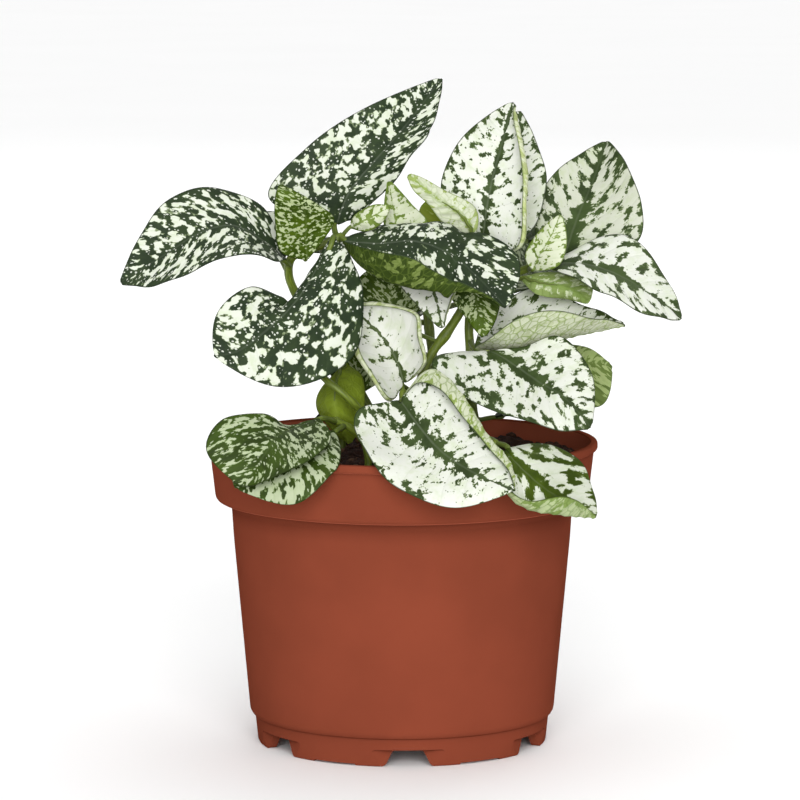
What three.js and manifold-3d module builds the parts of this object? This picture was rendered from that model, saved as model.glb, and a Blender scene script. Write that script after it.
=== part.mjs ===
// Polka dot plant in a round nursery pot. Millimetres, +Z up, the front of the plant faces -Y.
// The origin is on the pot's axis at the level of the surface that it stands on.
import * as THREE from "three";
import { mergeVertices } from "three/addons/utils/BufferGeometryUtils.js";
import Module from "manifold-3d";

const wasm = await Module();
wasm.setup();
const { Manifold, Mesh } = wasm;

// ---- driving dimensions --------------------------------------------------------------------
const GAP = 0.3; // clearance between pieces that touch
const SAME_POINT = 1e-4; // points closer than this are one
const POT_HEIGHT = 93;
const POT_SIDES = 48;
const RIM_RADIUS = 60;
const COLLAR_TOP_RADIUS = 58.9;
const COLLAR_LOW_RADIUS = 57.4;
const COLLAR_BOTTOM = 74.9;
const BODY_TOP_RADIUS = 52.3;
const BODY_LOW_RADIUS = 47;
const FOOT_RADIUS = 44.4;
const FOOT_INNER_RADIUS = 41.6;
const FOOT_HEIGHT = 8.5;
const FOOT_DRAFT = 0.9; // the foot's outside widens upwards by this much
const FOOT_INNER_DRAFT = 1; // and its inside narrows by this much
const LEDGE_OUT = 1.9; // ledge over the foot: outwards from the foot's low edge, then up
const LEDGE_RISE = 0.9;
const BODY_START = 2.5; // from the foot's top to the body's low edge
const COLLAR_FILLET = [[0, -2.3], [0.5, -0.4]]; // under the collar: outwards from the body, then up
const COLLAR_ROUND = [[-2.4, 0], [-0.6, 0.8], [0, 2.6]]; // low edge: outwards from the collar, then up
const BEAD_START = 2.5; // from the bead's low edge up to the rim
const BEAD_ROUND = [[-0.2, -2.2], [0, -1.3], [-0.3, -0.3], [-1.1, 0]]; // outwards from the rim, then up
const WALL = 1.2;
const LIP_DROP = 0.8; // the inner edge of the rim lies this much lower
const INNER_COLLAR_RISE = 3; // inside, the collar and the body end this much above COLLAR_BOTTOM
const INNER_BODY_RISE = 1;
const FLOOR_LOW = 6.6;
const FLOOR_TOP = 8;
const FLOOR_CORNER = 2;
const NOTCH_COUNT = 6;
const NOTCH_TURN = 2.4; // degrees from the front, towards +X
const NOTCH_TOP = 5.4;
const NOTCH_HALF_TOP = 4.3;
const NOTCH_HALF_LOW = 7;
const RECESS_DEPTH = 0.9;
const RECESS_HALF_TOP = 10.7;
const RECESS_HALF_LOW = 12;
const PAD_RELIEF = 0.8;
const PAD_RELIEF_HALF = 7;
const NOTCH_CORNER = 1.2;
const CUT_BELOW = 2; // how far the cuts for the notches reach past what they cut
const CUT_BEYOND = 6;
const DRAIN_RADIUS = 3.2;
const DRAIN_RING = 26;
const DRAIN_COUNT = 6;
const DRAIN_SIDES = 16;
const SOIL_TOP = 87.3;
const SOIL_EDGE_DROP = 2; // the soil's edge lies this much lower than its middle
const SOIL_BUMP = 1.1;
const SOIL_LUMPS = [ // [share of SOIL_BUMP, radians per mm along X, the same along Y, phase]
  [0.275, 0.21, 0.18, 0.2],
  [0.275, 0.21, -0.18, 1],
  [0.55, 0.13, -0.23, 0],
  [0.225, 0.31, 1.81, 0],
  [0.225, 1.35, 0.39, 0],
];
const SOIL_RINGS = 6;
const STEM_SIDES = 6;
const STEM_STEPS = 1.3; // for each point of the stem's path
const STALK_SIDES = 5;
const STALK_STEPS = 3;
const STALK_RADIUS = 0.95;
const STALK_REACH = 0.16; // share of the blade that the stalk runs along as its midrib
const BLADE_THICKNESS = 0.8;
const BLADE_ROWS = 6;
const HALF_COLUMNS = 2; // strips between the midrib and a margin
const HALF_COLUMNS_FOLDED = 3;
const BLADE_START = 0.03;
const BLADE_END = 0.979;

const GREEN_DARK = 0x3c4b30;
const GREEN_MID = 0x50643a;
const GREEN_YOUNG = 0x6b7d2a;
const GREEN_PALE = 0xa4b878;
const WHITE_LEAF = 0xdfe3cd;
const STEM_GREEN = 0x4f5a1c;
const POT_COLOUR = 0x8f4734;
const SOIL_COLOUR = 0x2d1816;
const POT_ROUGHNESS = 0.45;
const PLANT_ROUGHNESS = 0.5;
const SOIL_ROUGHNESS = 0.95;

// ---- stems: [radius, points from the soil upwards] -----------------------------------------
const STEMS = {
  stem_left: [1.45, [[-5, 2, 74], [-5, 1, 92.5], [-10.5, 4, 103], [-17.5, 6, 113.5], [-24.5, 5, 124.5],
    [-31.5, 1, 136], [-34.5, -3, 144], [-33.5, -6, 149.5], [-28.5, -6, 152], [-23.5, -6, 153.5],
    [-18, -5, 156]]],
  stem_left_side: [1.15, [[-6.5, -12, 76], [-7, -13, 94.5], [-13.5, -24, 106], [-18.5, -26, 111],
    [-23.5, -24, 115], [-25.5, -18, 118]]],
  stem_middle: [1.5, [[3, -2, 74], [3, -2, 93], [4.5, -3, 107], [9, -2, 119.5], [14, -2, 126.5],
    [18.5, -3, 134], [22, -3, 142.5], [24.5, -1, 149]]],
  stem_right: [1.5, [[24, 6, 74], [23.5, 6, 92], [21, 4, 106], [21, 3, 118.5], [21, 5, 130],
    [26.5, 8, 137.5], [36, 7, 144], [44.5, 4, 146.5]]],
  stem_front: [1.3, [[0.5, -16, 76], [0.5, -17, 95], [0, -20, 103], [0.5, -17, 110]]],
  stem_front_left: [1.2, [[-10.5, -23, 76], [-11, -23.5, 94.5], [-14.5, -25, 99], [-20.5, -27, 102.5]]],
  stem_front_right: [1.2, [[23.5, -26, 76], [24, -28, 95.5], [26.5, -35, 97.5], [28, -41, 97]]],
  stem_back: [1.5, [[12, 24, 74], [12, 24, 92.5], [10.5, 22, 108.5], [8.5, 20, 124.5], [7, 22, 140],
    [8.5, 24, 150.5]]],
  stem_back_left: [1.25, [[-19, 27, 76], [-19, 27, 94], [-20.5, 28.5, 100], [-21, 30.5, 104.5]]],
};

// ---- leaves --------------------------------------------------------------------------------
// rib: points of the midrib between base and tip. left and right: columns of points outwards from
// the midrib, seen on the upper face with the tip up; the last column is the margin.
// stalk: from the axis of the stem to near the base.
const LEAVES = {
  leaf_top_left: {
    colour: GREEN_DARK, base: [-20, 2, 158.5], tip: [12, 20, 202.5],
    rib: [[-16, 2, 169], [-8, 6, 178.5], [1, 12, 188.5]],
    left: [[[-40.5, -3, 167.5], [-29, 2, 182.5], [-11.5, 9, 194]]],
    right: [[[-8.5, 5.5, 165], [2.5, 10, 178], [10, 16, 190]]],
    stalk: [[-19.5, -5, 155]],
  },
  leaf_far_left: {
    colour: GREEN_DARK, base: [-35, -9, 149.5], tip: [-84, -28, 144],
    rib: [[-41.5, -12, 155], [-50.5, -15, 160], [-60, -19, 158.5], [-71, -24, 152]],
    left: [[[-38.5, -20, 150], [-48.5, -26, 152.5], [-59.5, -30, 149], [-72, -33, 144]]],
    right: [[[-42, -6, 164.5], [-56.5, -9, 171], [-69.5, -14, 168.5], [-78, -20, 158.5]]],
    stalk: [[-34, -4.5, 147]],
  },
  leaf_young_left: {
    colour: GREEN_YOUNG, base: [-28.5, -14, 149.5], tip: [-36, -24, 173],
    rib: [[-29, -16, 156], [-29, -20, 163.5], [-31, -23, 168.5]],
    left: [[[-36.5, -18, 152.5], [-38, -21.5, 162], [-37.5, -24, 169]]],
    right: [[[-23.5, -15.5, 156], [-20.5, -17.5, 162.5], [-26.5, -21, 167.5]]],
    stalk: [[-29, -6, 151.5]],
  },
  leaf_saddle_left: {
    colour: GREEN_DARK, base: [-21, -15, 157], tip: [-55.5, -43, 123.5],
    rib: [[-27.5, -24, 144.5], [-33.5, -30, 136.5], [-38, -34, 132.5], [-43, -38, 128.5], [-48.5, -41, 125]],
    left: [[[-14.5, -16, 149], [-11.5, -23, 136], [-13.5, -31, 124], [-23, -39, 117], [-38.5, -44, 115]]],
    right: [[[-25.5, -10, 148.5], [-32.5, -21, 137], [-36.5, -25, 139.5], [-45, -29, 143],
      [-54.5, -36, 136]]],
    stalk: [[-21, -5.5, 154.5]],
  },
  leaf_bud_low: {
    colour: GREEN_YOUNG, base: [-17, -9.5, 117.5], tip: [-16, -16, 94],
    rib: [[-20, -17.5, 111.5], [-20, -20, 104.5]],
    left: [[[-24, -13, 111], [-25.5, -14, 103.5]]],
    right: [[[-12, -11, 113], [-11.5, -14, 103.5]]],
    stalk: [[-25, -19, 117.5]],
  },
  leaf_young_low: {
    colour: GREEN_YOUNG, base: [-4, -5, 114], tip: [-22, -4, 114],
    rib: [[-9.5, -5, 115], [-16, -5.5, 114.5]],
    left: [[[-9, -5, 110], [-16, -6, 107.5]]],
    right: [[[-8.5, -3, 121], [-16.5, -3.5, 121]]],
    stalk: [[4.5, -3, 107]],
  },
  leaf_rim_left_upper: {
    colour: GREEN_MID, base: [-25, -36, 104.5], tip: [-47, -62, 87.5],
    rib: [[-31, -42, 102.5], [-36.5, -50, 101], [-39.5, -57, 97.5], [-42.5, -61, 93]],
    left: [[[-21, -47, 100.5], [-23.5, -57, 97], [-30.5, -64, 94], [-39, -66, 90]]],
    right: [[[-33.5, -40, 102], [-41.5, -46, 107], [-53, -51, 105.5], [-57, -57, 97.5]]],
    stalk: [[-20, -27, 102]],
  },
  leaf_rim_left_lower: {
    colour: GREEN_MID, base: [-20.5, -34, 100.5], tip: [-49, -57, 86.5],
    rib: [[-26, -46, 98.5], [-33, -57, 92.5], [-41, -59, 88]],
    left: [[[-18, -50, 96.5], [-20.5, -61, 91], [-32, -63, 82.5]]],
    right: [[[-32, -40.5, 99.5], [-43.5, -46, 96.5], [-49, -52, 91.5]]],
    stalk: [[-17.5, -26, 100.6]],
  },
  leaf_front_white: {
    colour: WHITE_LEAF, base: [-0.5, -38, 110], tip: [32.5, -70, 87.5],
    rib: [[4.5, -47, 104], [11, -56, 97.5], [18.5, -63, 93], [25.5, -67.5, 90]],
    left: [[[9, -36, 118], [18.5, -46, 110.5], [25, -56, 101], [31, -62, 94.5]],
      [[6.5, -40, 115.5], [14.5, -50, 111], [22.5, -59.5, 101.5], [29, -65, 95]]],
    right: [[[-13.5, -44, 107], [-10, -61, 96.5], [0.5, -69, 87], [15.5, -72, 83]]],
    stalk: [[0, -20, 103], [-0.5, -30, 108]],
  },
  leaf_rim_right: {
    colour: GREEN_PALE, base: [30.5, -46, 96.5], tip: [57.5, -46, 76],
    rib: [[34, -55, 93], [39.5, -57, 88], [46, -54, 83]],
    left: [[[35, -42, 96.5], [44.5, -40, 97], [54, -38, 90]]],
    right: [[[31, -63, 86], [37.5, -63, 81], [46.5, -58, 78.5]],
      [[31, -67, 88], [38, -68, 84], [48, -62, 84.5]]],
    stalk: [[28, -40, 97]],
  },
  leaf_cupped_centre: {
    colour: WHITE_LEAF, base: [0.5, -14, 112], tip: [-15.5, -14, 136.5],
    rib: [[-1, -13, 117], [-3, -12, 121.5], [-6, -12, 126], [-11, -12, 131]],
    left: [[[-5, -24, 107], [-10, -25.5, 114], [-14.5, -25, 121.5], [-16, -21.5, 129.5]]],
    right: [[[8.5, -20, 118.5], [7, -18.5, 127], [5.5, -17, 134.5], [-5.5, -15, 137.5]]],
    stalk: [[0.5, -17, 109]],
  },
  leaf_right_lower: {
    colour: WHITE_LEAF, base: [22, -14, 121.5], tip: [56, -40, 102],
    rib: [[27, -17, 122], [33, -21, 119], [41, -27, 114], [48.5, -34, 110]],
    left: [[[25.5, -16, 122], [36, -16, 123.5], [48.5, -18, 126.5], [57, -27, 115.5]]],
    right: [[[9.5, -24, 120.5], [14, -33, 112.5], [29, -39, 106.5], [45, -43, 102]]],
    stalk: [[21, 3.5, 114], [21.5, -8, 118]],
  },
  leaf_right_lower_back: {
    colour: GREEN_PALE, base: [41, 4, 113.5], tip: [64, -3, 116],
    rib: [[48.5, 2, 115.5], [56, 0, 116.5]],
    left: [[[47.5, 6, 121], [56, 4, 121]]],
    right: [[[48.5, -4, 105.5], [60.5, -6, 104.5]]],
    stalk: [[21, 4, 111]],
  },
  leaf_right_folded: {
    colour: WHITE_LEAF, base: [22, -6, 122], tip: [67.5, -12, 129.5],
    rib: [[31.5, -8, 122], [41.5, -8.5, 124], [51.5, -9, 126]],
    left: [[[27, 3, 132], [39.5, 6, 139.5], [54.5, 0, 135.5]]],
    right: [[[28.5, -20, 128], [40, -24, 135], [53.5, -22, 133.5]]],
    stalk: [[21, 4, 123]],
  },
  leaf_far_right: {
    colour: WHITE_LEAF, base: [43.5, -3.5, 147], tip: [84, -21, 132.5],
    rib: [[54.5, -8, 148], [64, -13, 145.5], [74, -17, 140]],
    left: [[[55.5, 3, 152.5], [68, 2, 156], [79.5, -8, 144.5]]],
    right: [[[53.5, -18, 143.5], [62.5, -24, 139.5], [74.5, -26, 134]]],
    stalk: [[44, 4, 146.5]],
  },
  leaf_top_right: {
    colour: WHITE_LEAF, base: [49.5, 10, 146.5], tip: [63.5, 28, 182.5],
    rib: [[52, 12, 154.5], [55, 16, 162], [59, 20, 170.5]],
    left: [[[41.5, 15, 153], [42.5, 19, 166], [49.5, 24, 175]]],
    right: [[[71.5, 6, 152.5], [73.5, 9, 164.5], [69, 17, 176.5]]],
    stalk: [[42, 5, 146]],
  },
  leaf_top_centre: {
    colour: WHITE_LEAF, base: [24.5, 2, 152.5], tip: [34, 14, 195.5],
    rib: [[25.5, -1, 162], [27.5, 1, 172.5], [30.5, 6, 183]],
    left: [[[15, 0, 159.5], [12, -1, 172.5], [19, 3, 186]]],
    right: [[[37, -8, 151], [39.5, -9, 166.5], [38.5, -2, 183]]],
    stalk: [[24.5, -1, 148.5]],
  },
  leaf_top_centre_back: {
    colour: WHITE_LEAF, base: [32, 13, 150], tip: [36.5, 27, 192],
    rib: [[32.5, 15, 161], [34.5, 17, 171.5], [36, 21, 181]],
    left: [[[25.5, 14, 158], [23.5, 16, 170], [28, 20, 183.5]]],
    right: [[[41, 12, 158], [44.5, 14, 171], [42, 20, 181.5]]],
    stalk: [[30, 8, 140.5]],
  },
  leaf_young_right: {
    colour: GREEN_YOUNG, base: [40, -6, 145.5], tip: [48, -8, 162.5],
    rib: [[41.5, -8, 150], [44.5, -9, 155]],
    left: [[[37.5, -6, 150], [41, -6, 156.5]]],
    right: [[[47, -12, 147.5], [49.5, -11, 154]]],
    stalk: [[39, 6, 145]],
  },
  leaf_rolled_right: {
    colour: GREEN_PALE, base: [36, -1.5, 143], tip: [56.5, -9, 136],
    rib: [[42.5, -4.5, 141.5], [51, -7, 140]],
    left: [[[40.5, -4, 138.5], [50, -6, 137]]],
    right: [[[44, -2, 144.5], [56.5, -3, 143]]],
    stalk: [[34, 7.5, 142.5]],
  },
  leaf_centre_dark: {
    colour: GREEN_DARK, base: [-18, -9, 155], tip: [31, -28, 136.5],
    rib: [[-6.5, -13, 154.5], [4, -17, 155.5], [14.5, -22, 152], [23.5, -26, 144.5]],
    left: [[[-9, -4, 158.5], [3, -5, 159], [16, -9, 160], [34.5, -16, 151]]],
    right: [[[-11, -20, 147], [0, -27, 143], [11.5, -31, 142], [22, -30, 141.5]],
      [[-8.5, -25, 153.5], [2, -32, 152], [13, -34, 146.5], [23.5, -31, 142]]],
    stalk: [[-19, -5.2, 155.4]],
  },
  leaf_hanging_white: {
    colour: WHITE_LEAF, base: [8, -10, 148.5], tip: [12, -19, 129.5],
    rib: [[9, -13, 143], [10.5, -16, 137]],
    left: [[[17.5, -13, 143.5], [15.5, -16, 136.5]]],
    right: [[[-1, -13, 143.5], [5, -17, 136]]],
    stalk: [[22, -3, 141.5], [15, -7, 147]],
  },
  leaf_hanging_dark: {
    colour: GREEN_MID, base: [20.5, -9, 146], tip: [24.5, -16, 126.5],
    rib: [[22, -12, 139.5], [23, -14, 133.5]],
    left: [[[29, -12, 139.5], [28.5, -14, 133]]],
    right: [[[14.5, -11, 139.5], [20, -14, 131.5]]],
    stalk: [[22.5, -2.7, 144]],
  },
  leaf_rolled_centre: {
    colour: GREEN_PALE, base: [22, -5, 155.5], tip: [2, -10.5, 175],
    rib: [[18, -8, 162.5], [11, -9.5, 167.5], [6, -10.5, 171.5]],
    left: [[[22.5, -5, 164.5], [13.5, -7, 169.5], [7.5, -9, 173]]],
    right: [[[13.5, -6.5, 159.5], [8, -9, 166], [4, -10, 170.5]]],
    stalk: [[23.5, -1.8, 146.5], [24, -5.5, 150.5]],
  },
  leaf_pale_centre: {
    colour: GREEN_PALE, base: [-3, 0, 154], tip: [-4, -4, 172.5],
    rib: [[-2, -1, 160], [-3, -2, 166]],
    left: [[[-5.5, -3, 159], [-5, -4, 166]]],
    right: [[[8, -1, 158.5], [2, -2, 166]]],
    stalk: [[-21.5, -5.5, 154.3], [-15, -1.5, 151.5]],
  },
  leaf_young_centre: {
    colour: GREEN_PALE, base: [-15.5, -6, 158.5], tip: [-4, -8.5, 165],
    rib: [[-12.5, -9, 160.5], [-8.5, -9.5, 162.5]],
    left: [[[-14.5, -6, 162], [-9, -7, 165]]],
    right: [[[-11, -8, 158], [-6.5, -9, 160.5]]],
    stalk: [[-18.5, -5.2, 155.7]],
  },
  leaf_olive_centre: {
    colour: GREEN_YOUNG, base: [16, 5, 155], tip: [8.5, 8, 166],
    rib: [[12, 6, 159.5], [10, 7, 163]],
    left: [[[7.5, 5, 159], [6, 6, 163]]],
    right: [[[14.5, 8, 160], [12, 9, 164]]],
    stalk: [[23.3, -2, 146], [20, 3, 150.5]],
  },
  leaf_shaded_centre: {
    colour: GREEN_DARK, base: [-3, 4, 129.5], tip: [-4.5, 6, 147],
    rib: [[-3, 3, 134], [-3.5, 4, 138.5]],
    left: [[[-12, 2, 134], [-13.5, 4, 141]]],
    right: [[[6.5, 2, 133.5], [7, 4, 140]]],
    stalk: [[11.5, -2, 123]],
  },
  leaf_left_inner: {
    colour: GREEN_DARK, base: [-25, 8, 115.5], tip: [-54, 22, 122.5],
    rib: [[-32, 10, 118.5], [-40, 14, 121.5], [-48, 18, 123]],
    left: [[[-31, 0, 116.5], [-41, 1, 119], [-49.5, 9, 121]]],
    right: [[[-30.5, 18, 119.5], [-39, 25.5, 122], [-49, 26, 123]]],
    stalk: [[-17.5, 6, 113.5]],
  },
  leaf_right_inner: {
    colour: GREEN_MID, base: [28, 11, 119], tip: [58, 29, 114.5],
    rib: [[35, 15.5, 121], [43, 20, 121.5], [51, 24.5, 119.5]],
    left: [[[30, 23, 122.5], [37, 31, 123], [47, 34, 120]]],
    right: [[[38, 9.5, 119.5], [48.5, 13, 120], [56, 20, 118]]],
    stalk: [[21, 3.1, 117]],
  },
  leaf_right_low: {
    colour: GREEN_DARK, base: [28.5, 8, 99], tip: [53, 17, 100.5],
    rib: [[35, 10, 101.5], [41.5, 12.5, 102.5], [48, 15, 102]],
    left: [[[32, 16, 100.5], [39.5, 21, 101], [47, 21.5, 101]]],
    right: [[[37, 2.5, 100.5], [44.5, 3, 101], [51.5, 9, 100.5]]],
    stalk: [[22.5, 5.2, 98]],
  },
  leaf_back_left_inner: {
    colour: WHITE_LEAF, base: [-22.5, 4, 149.5], tip: [-20, 46, 146],
    rib: [[-22.5, 14, 152.5], [-22, 25, 153], [-21, 36, 151]],
    left: [[[-30.5, 12, 150.5], [-31.5, 24, 150.5], [-28, 37, 149]]],
    right: [[[-14, 14, 151.5], [-11, 26, 152], [-13, 38, 150]]],
    stalk: [[-25, -6, 153]],
  },
  leaf_back_left_rim: {
    colour: GREEN_DARK, base: [-21.5, 53, 98.5], tip: [-26, 70.5, 68],
    rib: [[-22, 60.5, 96.5], [-23.5, 66.5, 88], [-25, 69.5, 78]],
    left: [[[-25, 58.5, 94.5], [-33, 62.5, 84], [-32, 66.5, 75]]],
    right: [[[-15, 61.5, 95], [-11.5, 66.5, 85], [-16, 69.5, 76]]],
    stalk: [[-20.2, 28.2, 99], [-21, 41, 101]],
  },
  leaf_back_left_base: {
    colour: GREEN_MID, base: [-21.5, 35, 104], tip: [-22.5, 58, 100.5],
    rib: [[-21.5, 42, 105], [-22, 50, 104]],
    left: [[[-25.5, 42, 103], [-24.5, 51, 101.5]]],
    right: [[[-16.5, 44, 104.5], [-16.5, 52, 103.5]]],
    stalk: [[-20.9, 30, 103.5]],
  },
  leaf_back_left_low: {
    colour: GREEN_DARK, base: [-15.5, 24, 117.5], tip: [-51, 64, 117],
    rib: [[-22.5, 33, 118.5], [-31, 44, 119], [-41, 55, 119.5]],
    left: [[[-28.5, 27, 114], [-40, 36, 113], [-48.5, 49, 115]]],
    right: [[[-14.5, 39, 123], [-21.5, 52, 126], [-35.5, 62, 124]]],
    stalk: [[9.5, 21, 116.5]],
  },
  leaf_back_right_low: {
    colour: GREEN_MID, base: [30.5, 24, 107], tip: [60.5, 68, 100.5],
    rib: [[37, 34, 107.5], [45.5, 46, 107], [53, 57, 105]],
    left: [[[28.5, 40, 112.5], [35.5, 53, 113], [46.5, 63, 109]]],
    right: [[[45.5, 28.5, 103], [55.5, 39, 101], [60, 53, 101]]],
    stalk: [[10.7, 22.2, 106]],
  },
  leaf_back_left_high: {
    colour: GREEN_DARK, base: [-14.5, 26, 157.5], tip: [-29, 64, 175],
    rib: [[-16.5, 33, 163], [-20, 42, 168.5], [-24, 52, 173]],
    left: [[[-25, 29, 163], [-31.5, 37, 169], [-32.5, 50, 174]]],
    right: [[[-10.5, 34, 166], [-12.5, 46, 172], [-18, 57, 176]]],
    stalk: [[8.3, 24, 149.5]],
  },
  leaf_back_right_high: {
    colour: WHITE_LEAF, base: [39, 26, 152], tip: [70.5, 64, 163],
    rib: [[45, 34, 155], [52.5, 44, 159.5], [61, 54, 162.5]],
    left: [[[36.5, 40, 160], [43.5, 53, 166], [56, 62, 168]]],
    right: [[[52.5, 28.5, 153], [62, 36, 156], [68.5, 49, 159]]],
    stalk: [[8, 23.4, 147]],
  },
  leaf_back_centre: {
    colour: GREEN_DARK, base: [3, 22, 127], tip: [-5.5, 66, 141],
    rib: [[2, 32, 131], [-0.5, 44, 135.5], [-3, 55, 138.5]],
    left: [[[-8, 30, 129.5], [-12, 43, 134], [-11, 57, 138]]],
    right: [[[12, 34, 132], [12.5, 46, 137], [5, 59, 140]]],
    stalk: [[8.3, 20.2, 127]],
  },
  leaf_back_rim: {
    colour: GREEN_MID, base: [7, 30, 94], tip: [12.5, 72, 91.5],
    rib: [[8, 42, 95], [9, 54, 96], [10.5, 62, 95.5]],
    left: [[[-3, 40, 94], [-5, 54, 95], [1, 66, 94]]],
    right: [[[18, 40, 94.5], [22, 53, 95.5], [20, 64, 94.5]]],
    stalk: [[12, 24, 94]],
  },
  leaf_back_right_mid: {
    colour: GREEN_MID, base: [22, 27, 133], tip: [56, 62, 137],
    rib: [[30, 35, 138], [39.5, 45, 142.5], [49, 54, 142]],
    left: [[[22, 40, 143], [29, 52, 149.5], [41, 60, 149]]],
    right: [[[39, 28.5, 136], [49.5, 36, 138], [56, 48, 136.5]]],
    stalk: [[8.2, 20.6, 130]],
  },
  leaf_back_left_mid: {
    colour: GREEN_DARK, base: [-36, 6, 148], tip: [-64, 48, 153],
    rib: [[-41.5, 14, 152.5], [-49, 25, 156.5], [-57, 37, 157]],
    left: [[[-50, 8, 151], [-60, 18, 154], [-65, 33, 155]]],
    right: [[[-33.5, 19.5, 156], [-39.5, 32, 160], [-51, 43, 159.5]]],
    stalk: [[-34.5, -2.8, 144.3]],
  },
  leaf_back_top: {
    colour: WHITE_LEAF, base: [18, 28, 156], tip: [28, 52, 184],
    rib: [[20, 34, 162], [23, 40, 169.5], [26, 46, 177]],
    left: [[[12.5, 36, 161], [13.5, 44, 169], [19, 50, 178]]],
    right: [[[30, 31, 161.5], [34.5, 37, 169], [33.5, 44, 178]]],
    stalk: [[8.4, 23.9, 149.5]],
  },
};

// ---- solids --------------------------------------------------------------------------------
function toSolid(geometry) {
  const plain = geometry.clone();
  plain.deleteAttribute("normal");
  plain.deleteAttribute("uv");
  const merged = mergeVertices(plain, SAME_POINT);
  const mesh = new Mesh({
    numProp: 3,
    vertProperties: new Float32Array(merged.attributes.position.array),
    triVerts: new Uint32Array(merged.index.array),
  });
  mesh.merge();
  return new Manifold(mesh);
}

function toGeometry(solid) {
  const mesh = solid.getMesh();
  const geometry = new THREE.BufferGeometry();
  geometry.setAttribute("position", new THREE.BufferAttribute(new Float32Array(mesh.vertProperties), 3));
  geometry.setIndex(new THREE.BufferAttribute(new Uint32Array(mesh.triVerts), 1));
  geometry.computeVertexNormals();
  return geometry;
}

function tube(points, radius, sides, steps) {
  const path = new THREE.CatmullRomCurve3(points.map((p) => new THREE.Vector3(...p)), false, "centripetal");
  const round = new THREE.Shape();
  for (let i = 0; i < sides; i += 1) {
    const angle = (2 * Math.PI * i) / sides;
    const x = radius * Math.cos(angle);
    const y = radius * Math.sin(angle);
    if (i === 0) round.moveTo(x, y);
    else round.lineTo(x, y);
  }
  round.closePath();
  return toSolid(new THREE.ExtrudeGeometry(round, { steps, bevelEnabled: false, extrudePath: path }));
}

// ---- blades --------------------------------------------------------------------------------
function slopes(points, knots) {
  const last = points.length - 1;
  const steps = [];
  for (let i = 0; i < last; i += 1) {
    steps.push(points[i + 1].clone().sub(points[i]).divideScalar(knots[i + 1] - knots[i]));
  }
  const out = points.map(() => new THREE.Vector3());
  for (let i = 1; i < last; i += 1) {
    const before = knots[i] - knots[i - 1];
    const after = knots[i + 1] - knots[i];
    out[i].addScaledVector(steps[i - 1], after).addScaledVector(steps[i], before);
    out[i].divideScalar(before + after);
  }
  if (last > 1) { // the ends bend as a parabola does
    out[0].addScaledVector(steps[0], 1.5).addScaledVector(out[1], -0.5);
    out[last].addScaledVector(steps[last - 1], 1.5).addScaledVector(out[last - 1], -0.5);
  } else {
    out[0].copy(steps[0]);
    out[1].copy(steps[0]);
  }
  return out;
}

function smooth(points, knots, at) {
  const slope = slopes(points, knots);
  return at.map((t) => {
    let i = 0;
    while (i < knots.length - 2 && t >= knots[i + 1]) i += 1;
    const span = knots[i + 1] - knots[i];
    const u = (t - knots[i]) / span;
    const result = new THREE.Vector3();
    result.addScaledVector(points[i], 2 * u ** 3 - 3 * u ** 2 + 1);
    result.addScaledVector(slope[i], (u ** 3 - 2 * u ** 2 + u) * span);
    result.addScaledVector(points[i + 1], -2 * u ** 3 + 3 * u ** 2);
    result.addScaledVector(slope[i + 1], (u ** 3 - u ** 2) * span);
    return result;
  });
}

function spread(from, to, count) {
  return Array.from({ length: count + 1 }, (_, i) => from + ((to - from) * i) / count);
}

// Middle surface of a blade: rows from base to tip, each from the left margin to the right one.
function bladeGrid(leaf, rows, half) {
  const columns = [...leaf.left].reverse().concat([leaf.rib], leaf.right)
    .map((column) => [leaf.base, ...column, leaf.tip].map((p) => new THREE.Vector3(...p)));
  const length = columns[0].length;
  const knots = [0];
  for (let i = 1; i < length; i += 1) {
    const sum = columns.reduce((total, column) => total + column[i].distanceTo(column[i - 1]), 0);
    knots.push(knots[i - 1] + Math.sqrt(sum / columns.length));
  }
  const shares = knots.map((knot) => knot / knots[length - 1]);
  const along = columns.map((column) => smooth(column, shares, spread(BLADE_START, BLADE_END, rows)));
  const across = spread(-1, 0, leaf.left.length).concat(spread(0, 1, leaf.right.length).slice(1));
  return spread(0, rows, rows).map((_, row) => smooth(along.map((column) => column[row]), across,
    spread(-1, 1, 2 * half)));
}

function gridNormals(grid) {
  const rows = grid.length;
  const columns = grid[0].length;
  return grid.map((row, i) => row.map((_, j) => {
    const forward = grid[Math.min(i + 1, rows - 1)][j].clone().sub(grid[Math.max(i - 1, 0)][j]);
    const sideways = row[Math.min(j + 1, columns - 1)].clone().sub(row[Math.max(j - 1, 0)]);
    return sideways.cross(forward).normalize();
  }));
}

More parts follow.
